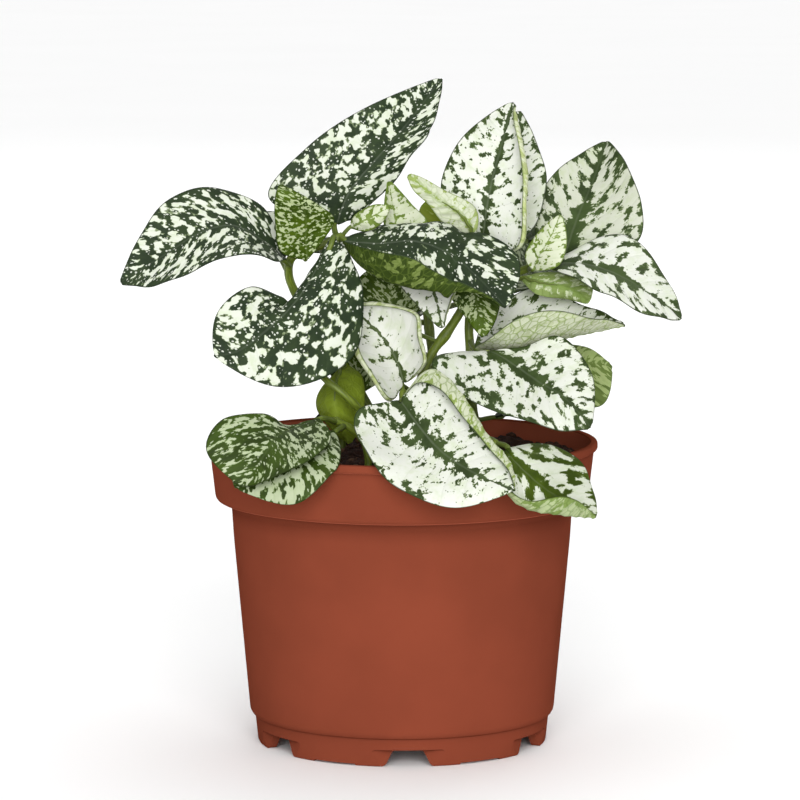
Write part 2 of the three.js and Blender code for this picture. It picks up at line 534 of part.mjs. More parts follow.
function bladeSolid(grid, thickness) {
  const rows = grid.length;
  const columns = grid[0].length;
  const normals = gridNormals(grid);
  const position = [];
  [0.5, -0.5].forEach((side) => grid.forEach((row, i) => row.forEach((p, j) => {
    const q = p.clone().addScaledVector(normals[i][j], side * thickness);
    position.push(q.x, q.y, q.z);
  })));
  const at = (face, i, j) => face * rows * columns + i * columns + j;
  const index = [];
  const quad = (a, b, c, d) => index.push(a, b, c, a, c, d);
  for (let i = 0; i < rows - 1; i += 1) {
    for (let j = 0; j < columns - 1; j += 1) {
      quad(at(0, i, j), at(0, i, j + 1), at(0, i + 1, j + 1), at(0, i + 1, j));
      index.push(at(1, i, j), at(1, i + 1, j + 1), at(1, i, j + 1));
      index.push(at(1, i, j), at(1, i + 1, j), at(1, i + 1, j + 1));
    }
    quad(at(0, i, 0), at(0, i + 1, 0), at(1, i + 1, 0), at(1, i, 0));
    quad(at(0, i + 1, columns - 1), at(0, i, columns - 1), at(1, i, columns - 1), at(1, i + 1, columns - 1));
  }
  for (let j = 0; j < columns - 1; j += 1) {
    quad(at(0, 0, j + 1), at(0, 0, j), at(1, 0, j), at(1, 0, j + 1));
    quad(at(0, rows - 1, j), at(0, rows - 1, j + 1), at(1, rows - 1, j + 1), at(1, rows - 1, j));
  }
  const geometry = new THREE.BufferGeometry();
  geometry.setAttribute("position", new THREE.Float32BufferAttribute(position, 3));
  geometry.setIndex(index);
  return toSolid(geometry);
}

function leafSolid(leaf, nearStems) {
  const folded = leaf.left.length > 1 || leaf.right.length > 1;
  const grid = bladeGrid(leaf, BLADE_ROWS, folded ? HALF_COLUMNS_FOLDED : HALF_COLUMNS);
  const blade = bladeSolid(grid, BLADE_THICKNESS);
  const middle = (grid[0].length - 1) / 2;
  const reach = Math.max(1, Math.round(STALK_REACH * BLADE_ROWS));
  const path = [...leaf.stalk, grid[0][middle].toArray(), grid[reach][middle].toArray()];
  const stalk = tube(path, STALK_RADIUS, STALK_SIDES, STALK_STEPS);
  return blade.add(stalk).subtract(nearStems);
}

// ---- pot and soil --------------------------------------------------------------------------
function offsets(radius, height, pairs) {
  return pairs.map(([outwards, up]) => [radius + outwards, height + up]);
}

function potBody() {
  const profile = [
    [0, FLOOR_LOW],
    [FOOT_INNER_RADIUS - FOOT_INNER_DRAFT, FLOOR_LOW],
    [FOOT_INNER_RADIUS, 0],
    [FOOT_RADIUS, 0],
    [FOOT_RADIUS + FOOT_DRAFT, FOOT_HEIGHT],
    [FOOT_RADIUS + LEDGE_OUT, FOOT_HEIGHT + LEDGE_RISE],
    [BODY_LOW_RADIUS, FOOT_HEIGHT + BODY_START],
    ...offsets(BODY_TOP_RADIUS, COLLAR_BOTTOM, COLLAR_FILLET),
    ...offsets(COLLAR_LOW_RADIUS, COLLAR_BOTTOM, COLLAR_ROUND),
    [COLLAR_TOP_RADIUS, POT_HEIGHT - BEAD_START],
    ...offsets(RIM_RADIUS, POT_HEIGHT, BEAD_ROUND),
    [COLLAR_TOP_RADIUS - WALL, POT_HEIGHT - LIP_DROP],
    [COLLAR_LOW_RADIUS - WALL, COLLAR_BOTTOM + INNER_COLLAR_RISE],
    [BODY_TOP_RADIUS - WALL, COLLAR_BOTTOM + INNER_BODY_RISE],
    [BODY_LOW_RADIUS - WALL, FOOT_HEIGHT + BODY_START],
    [BODY_LOW_RADIUS - WALL - FLOOR_CORNER, FLOOR_TOP],
    [0, FLOOR_TOP],
  ].map(([r, z]) => new THREE.Vector2(r, z));
  return toSolid(new THREE.LatheGeometry(profile, POT_SIDES).rotateX(Math.PI / 2));
}

// A block that widens downwards, reaching outwards from radius `inner` at `turn` degrees.
function flaredBlock(halfTop, halfLow, top, inner, turn) {
  const slope = (halfLow - halfTop) / top;
  const halfCorner = halfTop + slope * NOTCH_CORNER;
  const halfBottom = halfLow + slope * CUT_BELOW;
  const outline = new THREE.Shape();
  outline.moveTo(-halfBottom, -CUT_BELOW);
  outline.lineTo(halfBottom, -CUT_BELOW);
  outline.lineTo(halfCorner, top - NOTCH_CORNER);
  outline.lineTo(halfTop - NOTCH_CORNER, top);
  outline.lineTo(-halfTop + NOTCH_CORNER, top);
  outline.lineTo(-halfCorner, top - NOTCH_CORNER);
  outline.closePath();
  const depth = FOOT_RADIUS + CUT_BEYOND - inner;
  const block = new THREE.ExtrudeGeometry(outline, { depth, bevelEnabled: false });
  block.rotateX(Math.PI / 2);
  block.translate(0, -inner, 0);
  block.rotateZ((turn * Math.PI) / 180);
  return toSolid(block);
}

function potSolid() {
  let pot = potBody();
  const pitch = 360 / NOTCH_COUNT;
  const inside = FOOT_INNER_RADIUS - CUT_BEYOND;
  for (let i = 0; i < NOTCH_COUNT; i += 1) {
    const turn = NOTCH_TURN + i * pitch;
    const cuts = [
      flaredBlock(NOTCH_HALF_TOP, NOTCH_HALF_LOW, NOTCH_TOP, inside, turn),
      flaredBlock(RECESS_HALF_TOP, RECESS_HALF_LOW, NOTCH_TOP, FOOT_RADIUS - RECESS_DEPTH, turn),
      flaredBlock(PAD_RELIEF_HALF, PAD_RELIEF_HALF, PAD_RELIEF, inside, turn + pitch / 2),
    ];
    cuts.forEach((cut) => { pot = pot.subtract(cut); });
  }
  for (let i = 0; i < DRAIN_COUNT; i += 1) {
    const angle = (2 * Math.PI * i) / DRAIN_COUNT;
    const hole = new THREE.CylinderGeometry(DRAIN_RADIUS, DRAIN_RADIUS, FLOOR_TOP, DRAIN_SIDES);
    hole.rotateX(Math.PI / 2);
    hole.translate(DRAIN_RING * Math.cos(angle), DRAIN_RING * Math.sin(angle), FLOOR_TOP);
    pot = pot.subtract(toSolid(hole));
  }
  return pot;
}

function soilHeight(x, y) {
  return SOIL_LUMPS.reduce((z, [share, alongX, alongY, phase]) => (
    z + SOIL_BUMP * share * Math.sin(alongX * x + alongY * y + phase)), SOIL_TOP);
}

function collarInside(z) {
  const low = COLLAR_BOTTOM + INNER_COLLAR_RISE;
  const share = (z - low) / (POT_HEIGHT - LIP_DROP - low);
  return COLLAR_LOW_RADIUS - WALL + share * (COLLAR_TOP_RADIUS - COLLAR_LOW_RADIUS);
}

function soilSolid(stems) {
  const edge = SOIL_TOP - SOIL_EDGE_DROP;
  const side = [
    [0, FLOOR_TOP + GAP],
    [BODY_LOW_RADIUS - WALL - FLOOR_CORNER - GAP, FLOOR_TOP + GAP],
    [BODY_LOW_RADIUS - WALL - GAP, FOOT_HEIGHT + BODY_START],
    [BODY_TOP_RADIUS - WALL - GAP, COLLAR_BOTTOM + INNER_BODY_RISE + GAP],
    [COLLAR_LOW_RADIUS - WALL - GAP, COLLAR_BOTTOM + INNER_COLLAR_RISE + GAP],
    [collarInside(edge) - GAP, edge],
  ];
  const crown = side[side.length - 1][0];
  const profile = side.map(([r, z]) => new THREE.Vector2(r, z));
  for (let i = 1; i <= SOIL_RINGS; i += 1) {
    profile.push(new THREE.Vector2((crown * (SOIL_RINGS - i)) / SOIL_RINGS, SOIL_TOP));
  }
  const lathe = new THREE.LatheGeometry(profile, POT_SIDES).rotateX(Math.PI / 2);
  const position = lathe.attributes.position;
  for (let i = 0; i < position.count; i += 1) {
    if (position.getZ(i) > (SOIL_TOP + edge) / 2) {
      position.setZ(i, soilHeight(position.getX(i), position.getY(i)));
    }
  }
  return toSolid(lathe).subtract(stems);
}

// ---- assembly ------------------------------------------------------------------------------
function stemSolid([radius, points], extra) {
  return tube(points, radius + extra, STEM_SIDES, Math.round(STEM_STEPS * points.length));
}

function piece(name, solid, colour, roughness) {
  const material = new THREE.MeshStandardMaterial({ color: colour, roughness, metalness: 0, name });
  const mesh = new THREE.Mesh(toGeometry(solid), material);
  mesh.name = name;
  return mesh;
}

const part = new THREE.Group();
part.name = "potted_polka_dot_plant";
part.add(piece("pot", potSolid(), POT_COLOUR, POT_ROUGHNESS));

let stemRoom = null;
Object.entries(STEMS).forEach(([name, stem]) => {
  part.add(piece(name, stemSolid(stem, 0), STEM_GREEN, PLANT_ROUGHNESS));
  const room = stemSolid(stem, GAP);
  stemRoom = stemRoom ? stemRoom.add(room) : room;
});
part.add(piece("soil", soilSolid(stemRoom), SOIL_COLOUR, SOIL_ROUGHNESS));
Object.entries(LEAVES).forEach(([name, leaf]) => {
  part.add(piece(name, leafSolid(leaf, stemRoom), leaf.colour, PLANT_ROUGHNESS));
});

export default part;
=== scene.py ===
import math

import bmesh
import bpy
import numpy as np
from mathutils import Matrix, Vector, noise


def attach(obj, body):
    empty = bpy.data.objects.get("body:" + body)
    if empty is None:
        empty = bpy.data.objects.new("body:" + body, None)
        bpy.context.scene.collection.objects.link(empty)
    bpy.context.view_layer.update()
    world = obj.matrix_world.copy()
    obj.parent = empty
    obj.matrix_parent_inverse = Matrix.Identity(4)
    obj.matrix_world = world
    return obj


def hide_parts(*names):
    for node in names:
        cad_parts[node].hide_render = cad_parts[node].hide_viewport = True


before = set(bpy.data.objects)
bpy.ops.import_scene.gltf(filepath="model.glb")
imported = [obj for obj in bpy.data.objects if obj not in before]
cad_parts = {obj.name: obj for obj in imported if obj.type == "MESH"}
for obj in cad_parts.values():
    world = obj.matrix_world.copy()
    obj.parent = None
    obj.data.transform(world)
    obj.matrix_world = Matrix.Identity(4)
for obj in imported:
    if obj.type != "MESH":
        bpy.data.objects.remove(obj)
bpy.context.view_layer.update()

MM = 0.001

# ---- sizes in millimetres, as in the CAD source ----
POT_HEIGHT = 93
RIM_RADIUS = 60
COLLAR_TOP_RADIUS = 58.9
COLLAR_LOW_RADIUS = 57.4
COLLAR_BOTTOM = 74.9
BODY_TOP_RADIUS = 52.3
BODY_LOW_RADIUS = 47
FOOT_RADIUS = 44.4
FOOT_INNER_RADIUS = 41.6
FOOT_HEIGHT = 8.5
WALL = 1.2
FLOOR_LOW = 6.6
FLOOR_TOP = 8
DRAIN_RADIUS = 3.2
DRAIN_CIRCLE = 26
NOTCH_COUNT = 6
NOTCH_TURN = 2.4
NOTCH_TOP = 5.4
SOIL_TOP = 87.3
SOIL_BUMP = 1.1


# ---- curves and surfaces ----
def xyz(numbers):
    """Points from numbers that are x, y and z in turn."""
    return np.reshape(numbers, (-1, 3)).astype(float)


def slopes(points, knots):
    steps = [(points[i + 1] - points[i]) / (knots[i + 1] - knots[i]) for i in range(len(points) - 1)]
    out = [np.zeros_like(points[0]) for _ in points]
    for i in range(1, len(points) - 1):
        before, after = knots[i] - knots[i - 1], knots[i + 1] - knots[i]
        out[i] = (steps[i - 1] * after + steps[i] * before) / (before + after)
    if len(points) > 2:
        out[0] = 1.5 * steps[0] - 0.5 * out[1]
        out[-1] = 1.5 * steps[-1] - 0.5 * out[-2]
    else:
        out = [steps[0], steps[0]]
    return out


def smooth(points, knots, at):
    """Passes through points at knots; points may be arrays of points."""
    slope = slopes(points, knots)
    out = []
    for t in at:
        i = min(max(int(np.searchsorted(knots, t, side="right")) - 1, 0), len(knots) - 2)
        span = knots[i + 1] - knots[i]
        u = (t - knots[i]) / span
        out.append(points[i] * (2 * u**3 - 3 * u**2 + 1) + slope[i] * (u**3 - 2 * u**2 + u) * span
                   + points[i + 1] * (3 * u**2 - 2 * u**3) + slope[i + 1] * (u**3 - u**2) * span)
    return np.array(out)


def unit(vectors):
    return vectors / np.maximum(np.linalg.norm(vectors, axis=-1, keepdims=True), 1e-9)


def run_along(points):
    """Length of the way to each point."""
    return np.concatenate([[0], np.cumsum(np.linalg.norm(np.diff(points, axis=0), axis=1))])


def centripetal(points, count):
    """Smooth curve through the points, evenly spaced."""
    gap = np.linalg.norm(np.diff(points, axis=0), axis=1)
    knots = np.concatenate([[0], np.cumsum(np.sqrt(gap))])
    fine = smooth(list(points), knots / knots[-1], np.linspace(0, 1, 12 * count))
    run = run_along(fine)
    even = np.linspace(0, run[-1], count + 1)
    return np.stack([np.interp(even, run, fine[:, k]) for k in range(3)], 1)


def grid_normals(grid):
    forward, sideways = np.gradient(grid, axis=0), np.gradient(grid, axis=1)
    return unit(np.cross(sideways, forward))


# where a blade starts and ends as shares of its midrib, and from where on its rows stand closer
BLADE_START, BLADE_END, TIP_PART = 0.012, 0.998, 0.94
BLADE_ROWS, TIP_ROWS = 62, 10
TIP_CROWDING = 0.62  # below 1, the rows get closer towards the tip
TIP_ROUND = 1.25  # radius of the tip in millimetres
LEAST_WIDTH = 0.05  # half width in millimetres at the very tip


def blade_grid(rib, left, right, half):
    """Middle surface of a blade, as in the CAD source, with its shares along and across."""
    tip_places = TIP_PART + (BLADE_END - TIP_PART) * np.linspace(0, 1, TIP_ROWS + 1)[1:] ** TIP_CROWDING
    places = np.concatenate([np.linspace(BLADE_START, TIP_PART, BLADE_ROWS - TIP_ROWS + 1), tip_places])
    left, right = [[[rib[0], *line, rib[-1]] for line in side] for side in (left, right)]
    columns = np.array(left[::-1] + [rib] + right, float)
    step = np.linalg.norm(np.diff(columns, axis=1), axis=2).mean(0)
    knots = np.concatenate([[0], np.cumsum(np.sqrt(step))])
    along = smooth(list(columns.transpose(1, 0, 2)), knots / knots[-1], places)
    across = np.concatenate([np.linspace(-1, 0, len(left) + 1)[:-1], np.linspace(0, 1, len(right) + 1)])
    # the columns stand closer towards the margins
    share = np.linspace(-1, 1, 2 * half + 1)
    share = 0.6 * share + 0.4 * np.sin(share * math.pi / 2)
    grid = smooth(list(along.transpose(1, 0, 2)), across, share).transpose(1, 0, 2)
    # the tip is rounded, not sharp, and the blade is a little fuller just before it
    middle = grid[:, [half]]
    to_tip = run_along(middle[::-1, 0])[::-1]
    out = grid - middle
    width = np.linalg.norm(out[:, [0, -1]], axis=2).mean(1)
    side = width + 0.55 * TIP_ROUND * np.exp(-((to_tip / (8 * TIP_ROUND)) ** 2))
    cap = np.sqrt(np.maximum(2 * TIP_ROUND * to_tip - to_tip**2, LEAST_WIDTH**2))
    wanted = np.where(to_tip < 0.43 * TIP_ROUND, cap, side)
    grid = middle + out * (wanted / np.maximum(width, 0.02))[:, None, None]
    return grid, places, share


ROLL_FADE = 0.18  # share of the blade over which a roll sets in and ends
ROLL_LEAST = 0.2  # narrower rolls, in millimetres, are left out


def roll_margin(grid, side, arc, turn, start, end):
    """Rolls the margin on one side (-1 left, 1 right) up and inwards, between two shares along."""
    rows, columns = grid.shape[:2]
    normal = grid_normals(grid)
    order = np.arange(columns)[::side]
    out = grid.copy()
    for i in range(rows):
        t = i / (rows - 1)
        fade = max(0.0, min(1.0, (t - start) / ROLL_FADE, (end - t) / ROLL_FADE))
        here = arc * math.sin(fade * math.pi / 2)
        if here < ROLL_LEAST:
            continue
        line = grid[i, order]
        run = run_along(line)
        left = run[-1] - run
        pivot = np.array([np.interp(-here, -left, line[:, k]) for k in range(3)])
        first = int(np.searchsorted(-left, -here))
        up = normal[i, order[first]]
        tangent = line[first - 1] - line[first - 2]
        tangent = unit(tangent - up * tangent.dot(up))
        radius = here / turn
        for k in range(first, columns):
            angle = (here - left[k]) / radius
            sideways, rise = radius * math.sin(angle), radius * (1 - math.cos(angle))
            out[i, order[k]] = pivot + tangent * sideways + up * rise
    return out


def rounded(corners, steps=4):
    """Outline through the corners (x, z, radius), each rounded by its radius."""
    out = []
    for i, (x, z, radius) in enumerate(corners):
        if radius <= 0:
            out.append((x, z))
            continue
        p, a, b = (np.array(corners[j][:2], float) for j in (i, i - 1, i + 1))
        back, on = a - p, b - p
        reach = min(radius, 0.48 * np.linalg.norm(back), 0.48 * np.linalg.norm(on))
        start, end = p + unit(back) * reach, p + unit(on) * reach
        for k in range(steps + 1):
            u = k / steps
            out.append(tuple((1 - u) ** 2 * start + 2 * u * (1 - u) * p + u**2 * end))
    return out


# ---- mesh building ----
def add_object(name, data):
    made = bpy.data.objects.new(name, data)
    bpy.context.collection.objects.link(made)
    return made


def make_object(name, vertices, faces, materials, slots=None, uvs=None):
    """vertices in millimetres; slots gives each face's material, uvs maps name to a pair per vertex."""
    mesh = bpy.data.meshes.new(name)
    mesh.from_pydata((np.asarray(vertices, float) * MM).tolist(), [], faces)
    for material in materials:
        mesh.materials.append(material)
    if slots is not None:
        mesh.polygons.foreach_set("material_index", np.asarray(slots, np.int32))
    mesh.polygons.foreach_set("use_smooth", [True] * len(mesh.polygons))
    for uv_name, pairs in (uvs or {}).items():
        layer = mesh.uv_layers.new(name=uv_name)
        index = np.zeros(len(mesh.loops), np.int32)
        mesh.loops.foreach_get("vertex_index", index)
        layer.data.foreach_set("uv", np.asarray(pairs, np.float32)[index].ravel())
    mesh.update()
    return add_object(name, mesh)


def circle(radius, z, sides, shift=0.0, x=0.0, y=0.0):
    """Level circle of points round x and y; shift turns it by a share of a step."""
    angles = [2 * math.pi * (k + shift) / sides for k in range(sides)]
    return [(x + radius * math.cos(angle), y + radius * math.sin(angle), z) for angle in angles]


def skin(rings, first, last):
    """Closed body through rings that have as many points each, with one point at either end."""
    sides = len(rings[0])
    vertices = [first, *(point for ring in rings for point in ring), last]
    top = len(vertices) - 1
    steps = [(k, (k + 1) % sides) for k in range(sides)]
    faces = [[0, 1 + b, 1 + a] for a, b in steps]
    for low in range(1, top - sides, sides):
        faces += [[low + a, low + b, low + b + sides, low + a + sides] for a, b in steps]
    faces += [[top - sides + a, top - sides + b, top] for a, b in steps]
    return vertices, faces


def prism(low, high):
    """Closed body between two outlines that have as many points each."""
    n = len(low)
    faces = [[k, (k + 1) % n, n + (k + 1) % n, n + k] for k in range(n)]
    faces += [list(range(n))[::-1], list(range(n, 2 * n))]
    return low + high, faces


def tube_mesh(points, radii, sides, offset=0):
    """Round tube with pointed ends; returns vertices, faces and (round, along) for each vertex."""
    tangent = unit(np.gradient(points, axis=0))
    side = unit(np.cross(tangent[0], (0.31, 0.11, 0.94)))
    run = run_along(points)
    rings, coordinates = [], [(0, 0)]
    for point, forward, radius, way in zip(points, tangent, radii, run):
        side = unit(side - forward * side.dot(forward))
        other = np.cross(forward, side)
        rings.append([point + a * side + b * other for a, b, _ in circle(radius, 0, sides)])
        coordinates += [(2 * math.pi * k / sides * radius, way) for k in range(sides)]
    first, last = points[0] - tangent[0] * radii[0] * 0.5, points[-1] + tangent[-1] * radii[-1] * 0.7
    vertices, faces = skin(rings, first, last)
    return vertices, [[index + offset for index in face] for face in faces], coordinates + [(0, run[-1])]


# ---- node materials ----
class Graph:
    """One material and its nodes."""

    def __init__(self, name):
        self.material = bpy.data.materials.new(name)
        self.material.use_nodes = True
        self.tree = self.material.node_tree
        self.shader = self.tree.nodes["Principled BSDF"]

    def node(self, kind, inputs=(), **settings):
        """inputs pairs a socket's name or number with a value or with another socket."""
        made = self.tree.nodes.new(kind)
        for key, value in settings.items():
            setattr(made, key, value)
        for key, value in dict(inputs).items():
            self.feed(made.inputs[key], value)
        return made

    def feed(self, socket, value):
        if isinstance(value, bpy.types.NodeSocket):
            self.tree.links.new(value, socket)
        elif isinstance(value, tuple) and len(value) == 3 and socket.type == "RGBA":
            socket.default_value = (*value, 1)
        else:
            socket.default_value = value

    def math(self, operation, a, b=0.5, c=0.5, clamp=False):
        inputs = enumerate((a, b, c))
        return self.node("ShaderNodeMath", inputs, operation=operation, use_clamp=clamp).outputs[0]

    def remap(self, value, low, high, to_low=0.0, to_high=1.0, kind="SMOOTHSTEP"):
        inputs = enumerate((value, low, high, to_low, to_high))
        return self.node("ShaderNodeMapRange", inputs, interpolation_type=kind).outputs[0]

    def mix(self, share, a, b):
        return self.node("ShaderNodeMix", {0: share, 6: a, 7: b}, data_type="RGBA").outputs[2]

    def vector(self, x, y, z):
        return self.node("ShaderNodeCombineXYZ", enumerate((x, y, z))).outputs[0]

    def noise(self, vector, scale, detail, roughness):
        inputs = {"Vector": vector, "Scale": scale, "Detail": detail, "Roughness": roughness}
        return self.node("ShaderNodeTexNoise", inputs).outputs["Fac"]

    def cells(self, vector, scale, feature="F1"):
        inputs = {"Vector": vector, "Scale": scale, "Randomness": 1.0}
        return self.node("ShaderNodeTexVoronoi", inputs, feature=feature).outputs

    def uv(self, name):
        """The map's two coordinates, and both in one vector."""
        both = self.node("ShaderNodeUVMap", uv_map=name).outputs[0]
        split = self.node("ShaderNodeSeparateXYZ", {0: both})
        return split.outputs[0], split.outputs[1], both

    def place(self):
        """Position on the object in millimetres."""
        inputs = {0: self.node("ShaderNodeTexCoord").outputs["Object"], "Scale": 1 / MM}
        return self.node("ShaderNodeVectorMath", inputs, operation="SCALE").outputs[0]

    def bump(self, height, strength, distance):
        made = self.node("ShaderNodeBump", {"Strength": strength, "Distance": distance, "Height": height})
        self.feed(self.shader.inputs["Normal"], made.outputs[0])

    def finish(self, colour, roughness, specular):
        self.feed(self.shader.inputs["Base Color"], colour)
        self.feed(self.shader.inputs["Roughness"], roughness)
        self.shader.inputs["Specular IOR Level"].default_value = specular
        return self.material


SURFACE = 0.62  # surfaces are this much darker than they show in the full light of the studio


def rgb(red, green, blue):
    """Colour of a surface, in linear light, that shows these display values from 0 to 255 in full light."""
    return tuple(SURFACE * ((v / 255 + 0.055) / 1.055) ** 2.4 for v in (red, green, blue))


def blend(a, b, share, tint=(1, 1, 1)):
    """Colour between a and b, with this share of b times its tint."""
    return tuple((1 - share) * x + share * y * t for x, y, t in zip(a, b, tint))


# ---- leaf pattern ----
# Each kind: its two greens and its white; the level above which the pattern is white; how much green
# gathers on the midrib, on the side veins and at the margin, and how far from the midrib it reaches;
# how fine, how detailed and how ragged the splashes are, and how much narrower across the blade; how
# common and how large the specks are; and the underside: ground, paler patches, veins, and how much of
# the patches shows.
USUAL = dict(vein=0.0, aspect=0.80, lean=0.35, veined=1.0, green_specks=False,
             crease=(0.5, 0.0, 0.0), rolls=())
KINDS = {
    "dark": dict(
        USUAL, green=rgb(42, 56, 36), green2=rgb(54, 70, 42), white=rgb(236, 241, 226), level=0.505,
        rib=0.20, rib_width=5.0, margin=0.05, scale=0.42, detail=1.6, ragged=0.045, aspect=0.90,
        specks=0.62, speck=0.26, under=(rgb(60, 78, 24), rgb(138, 156, 84), rgb(98, 118, 46), 0.80)),
    "rim": dict(
        USUAL, green=rgb(46, 62, 18), green2=rgb(66, 88, 26), white=rgb(194, 206, 170), level=0.515,
        rib=0.14, rib_width=3.0, margin=0.04, scale=0.62, detail=2.5, ragged=0.06, aspect=0.50, lean=0.7,
        specks=0.55, speck=0.20, under=(rgb(96, 118, 50), rgb(168, 184, 116), rgb(130, 152, 74), 0.75)),
    "white": dict(
        USUAL, green=rgb(54, 69, 36), green2=rgb(72, 90, 48), white=rgb(242, 245, 234), level=0.410,
        rib=0.28, rib_width=5.5, vein=0.05, margin=0.09, scale=0.42, detail=2.6, ragged=0.13,
        specks=0.20, speck=0.12, green_specks=True,
        under=(rgb(168, 188, 106), rgb(232, 238, 208), rgb(126, 154, 62), 0.90)),
    "snow": dict(
        USUAL, green=rgb(60, 76, 34), green2=rgb(80, 98, 48), white=rgb(244, 246, 236), level=0.380,
        rib=0.34, rib_width=3.0, vein=0.06, margin=0.10, scale=0.40, detail=2.6, ragged=0.14,
        specks=0.12, speck=0.10, green_specks=True,
        under=(rgb(228, 234, 204), rgb(244, 246, 234), rgb(166, 188, 96), 0.90)),
    "fresh": dict(
        USUAL, green=rgb(58, 76, 12), green2=rgb(78, 98, 20), white=rgb(234, 239, 222), level=0.430,
        rib=0.30, rib_width=7.0, vein=0.06, margin=0.10, scale=0.28, detail=2.5, ragged=0.12,
        specks=0.10, speck=0.12, under=(rgb(146, 172, 92), rgb(204, 218, 168), rgb(112, 142, 60), 0.85)),
    "pale": dict(
        USUAL, green=rgb(104, 128, 48), green2=rgb(132, 156, 72), white=rgb(230, 236, 208), level=0.420,
        rib=0.20, rib_width=2.0, vein=0.08, margin=0.12, scale=0.60, detail=3.0, ragged=0.14,
        specks=0.20, speck=0.12, green_specks=True,
        under=(rgb(178, 196, 118), rgb(232, 238, 212), rgb(140, 166, 74), 0.90)),
    "young": dict(
        USUAL, green=rgb(50, 70, 6), green2=rgb(78, 102, 12), white=rgb(194, 206, 160), level=0.505,
        rib=0.10, rib_width=2.0, margin=0.02, scale=0.95, detail=2.0, ragged=0.06, aspect=0.70,
        specks=0.60, speck=0.20, under=(rgb(88, 108, 34), rgb(150, 166, 86), rgb(116, 134, 54), 0.75)),
    "olive": dict(
        USUAL, green=rgb(124, 144, 38), green2=rgb(140, 156, 54), white=rgb(170, 182, 96), level=0.640,
        rib=0.04, rib_width=1.4, margin=0.03, scale=0.50, detail=2.0, ragged=0.05,
        specks=0.10, speck=0.12, under=(rgb(134, 154, 42), rgb(150, 168, 62), rgb(150, 168, 70), 0.50)),
}

# What single leaves change in their kind, and what they add. rolls: margins that are rolled over, each
# with its side, width in millimetres, turn in radians, and where along the leaf. crease: a fold across
# the blade, with its place along it, depth in millimetres and half width as a share of the blade; along
# the fold the blade is painted greener, as painted shade in the fold.
BROAD = dict(scale=0.32, ragged=0.12, specks=0.15)
# painted shade: a greyer white for a leaf that lies in shade
SHADED = dict(BROAD, white=rgb(216, 220, 202))
SPECKLED = dict(scale=0.62, aspect=0.72, ragged=0.10, margin=0.05, specks=0.5)
NETTED = dict(under=(rgb(222, 232, 190), rgb(236, 242, 214), rgb(146, 174, 76), 0.9), veined=1.3,
              rolls=[(-1, 1.6, 2.2, 0.1, 0.9)])
BACK_OLIVE = dict(green=rgb(84, 104, 44), green2=rgb(112, 132, 66), white=rgb(170, 186, 124), scale=0.7)
FINE = dict(scale=0.85, ragged=0.12, vein=0.06)
MOTTLED = dict(scale=0.50, vein=0.08, ragged=0.12, margin=0.10, veined=0.5)
PLAIN = dict(veined=0.25)
LIGHT_UNDER = dict(under=(rgb(206, 218, 152), rgb(232, 238, 206), rgb(146, 170, 80), 0.8))
CUPPED = dict(LIGHT_UNDER, rolls=[(1, 2.2, 2.7, 0.0, 0.96), (-1, 2.4, 2.5, 0.05, 0.9)])
HANGING = dict(LIGHT_UNDER, rolls=[(-1, 1.8, 2.5, 0.0, 0.9)])
SPARSE = dict(LIGHT_UNDER, rib_width=3.8, rolls=[(1, 3.2, 2.5, 0.02, 0.9)])
ROLLED = dict(rolls=[(-1, 2.6, 2.7, 0.0, 0.85)])
GREENER = dict(green=rgb(152, 176, 98), green2=rgb(168, 190, 116), white=rgb(228, 236, 200), level=0.47,
               under=(rgb(162, 184, 108), rgb(226, 236, 196), rgb(134, 160, 80), 0.95))
LIME_EDGE = dict(under=(rgb(136, 160, 74), rgb(180, 196, 126), rgb(116, 142, 58), 0.8),
                 rolls=[(1, 1.5, 2.4, 0.04, 0.6)])
# a fold across the blade, with a greener band of painted shade along it
CREASED = dict(crease=(0.63, 1.8, 0.028))

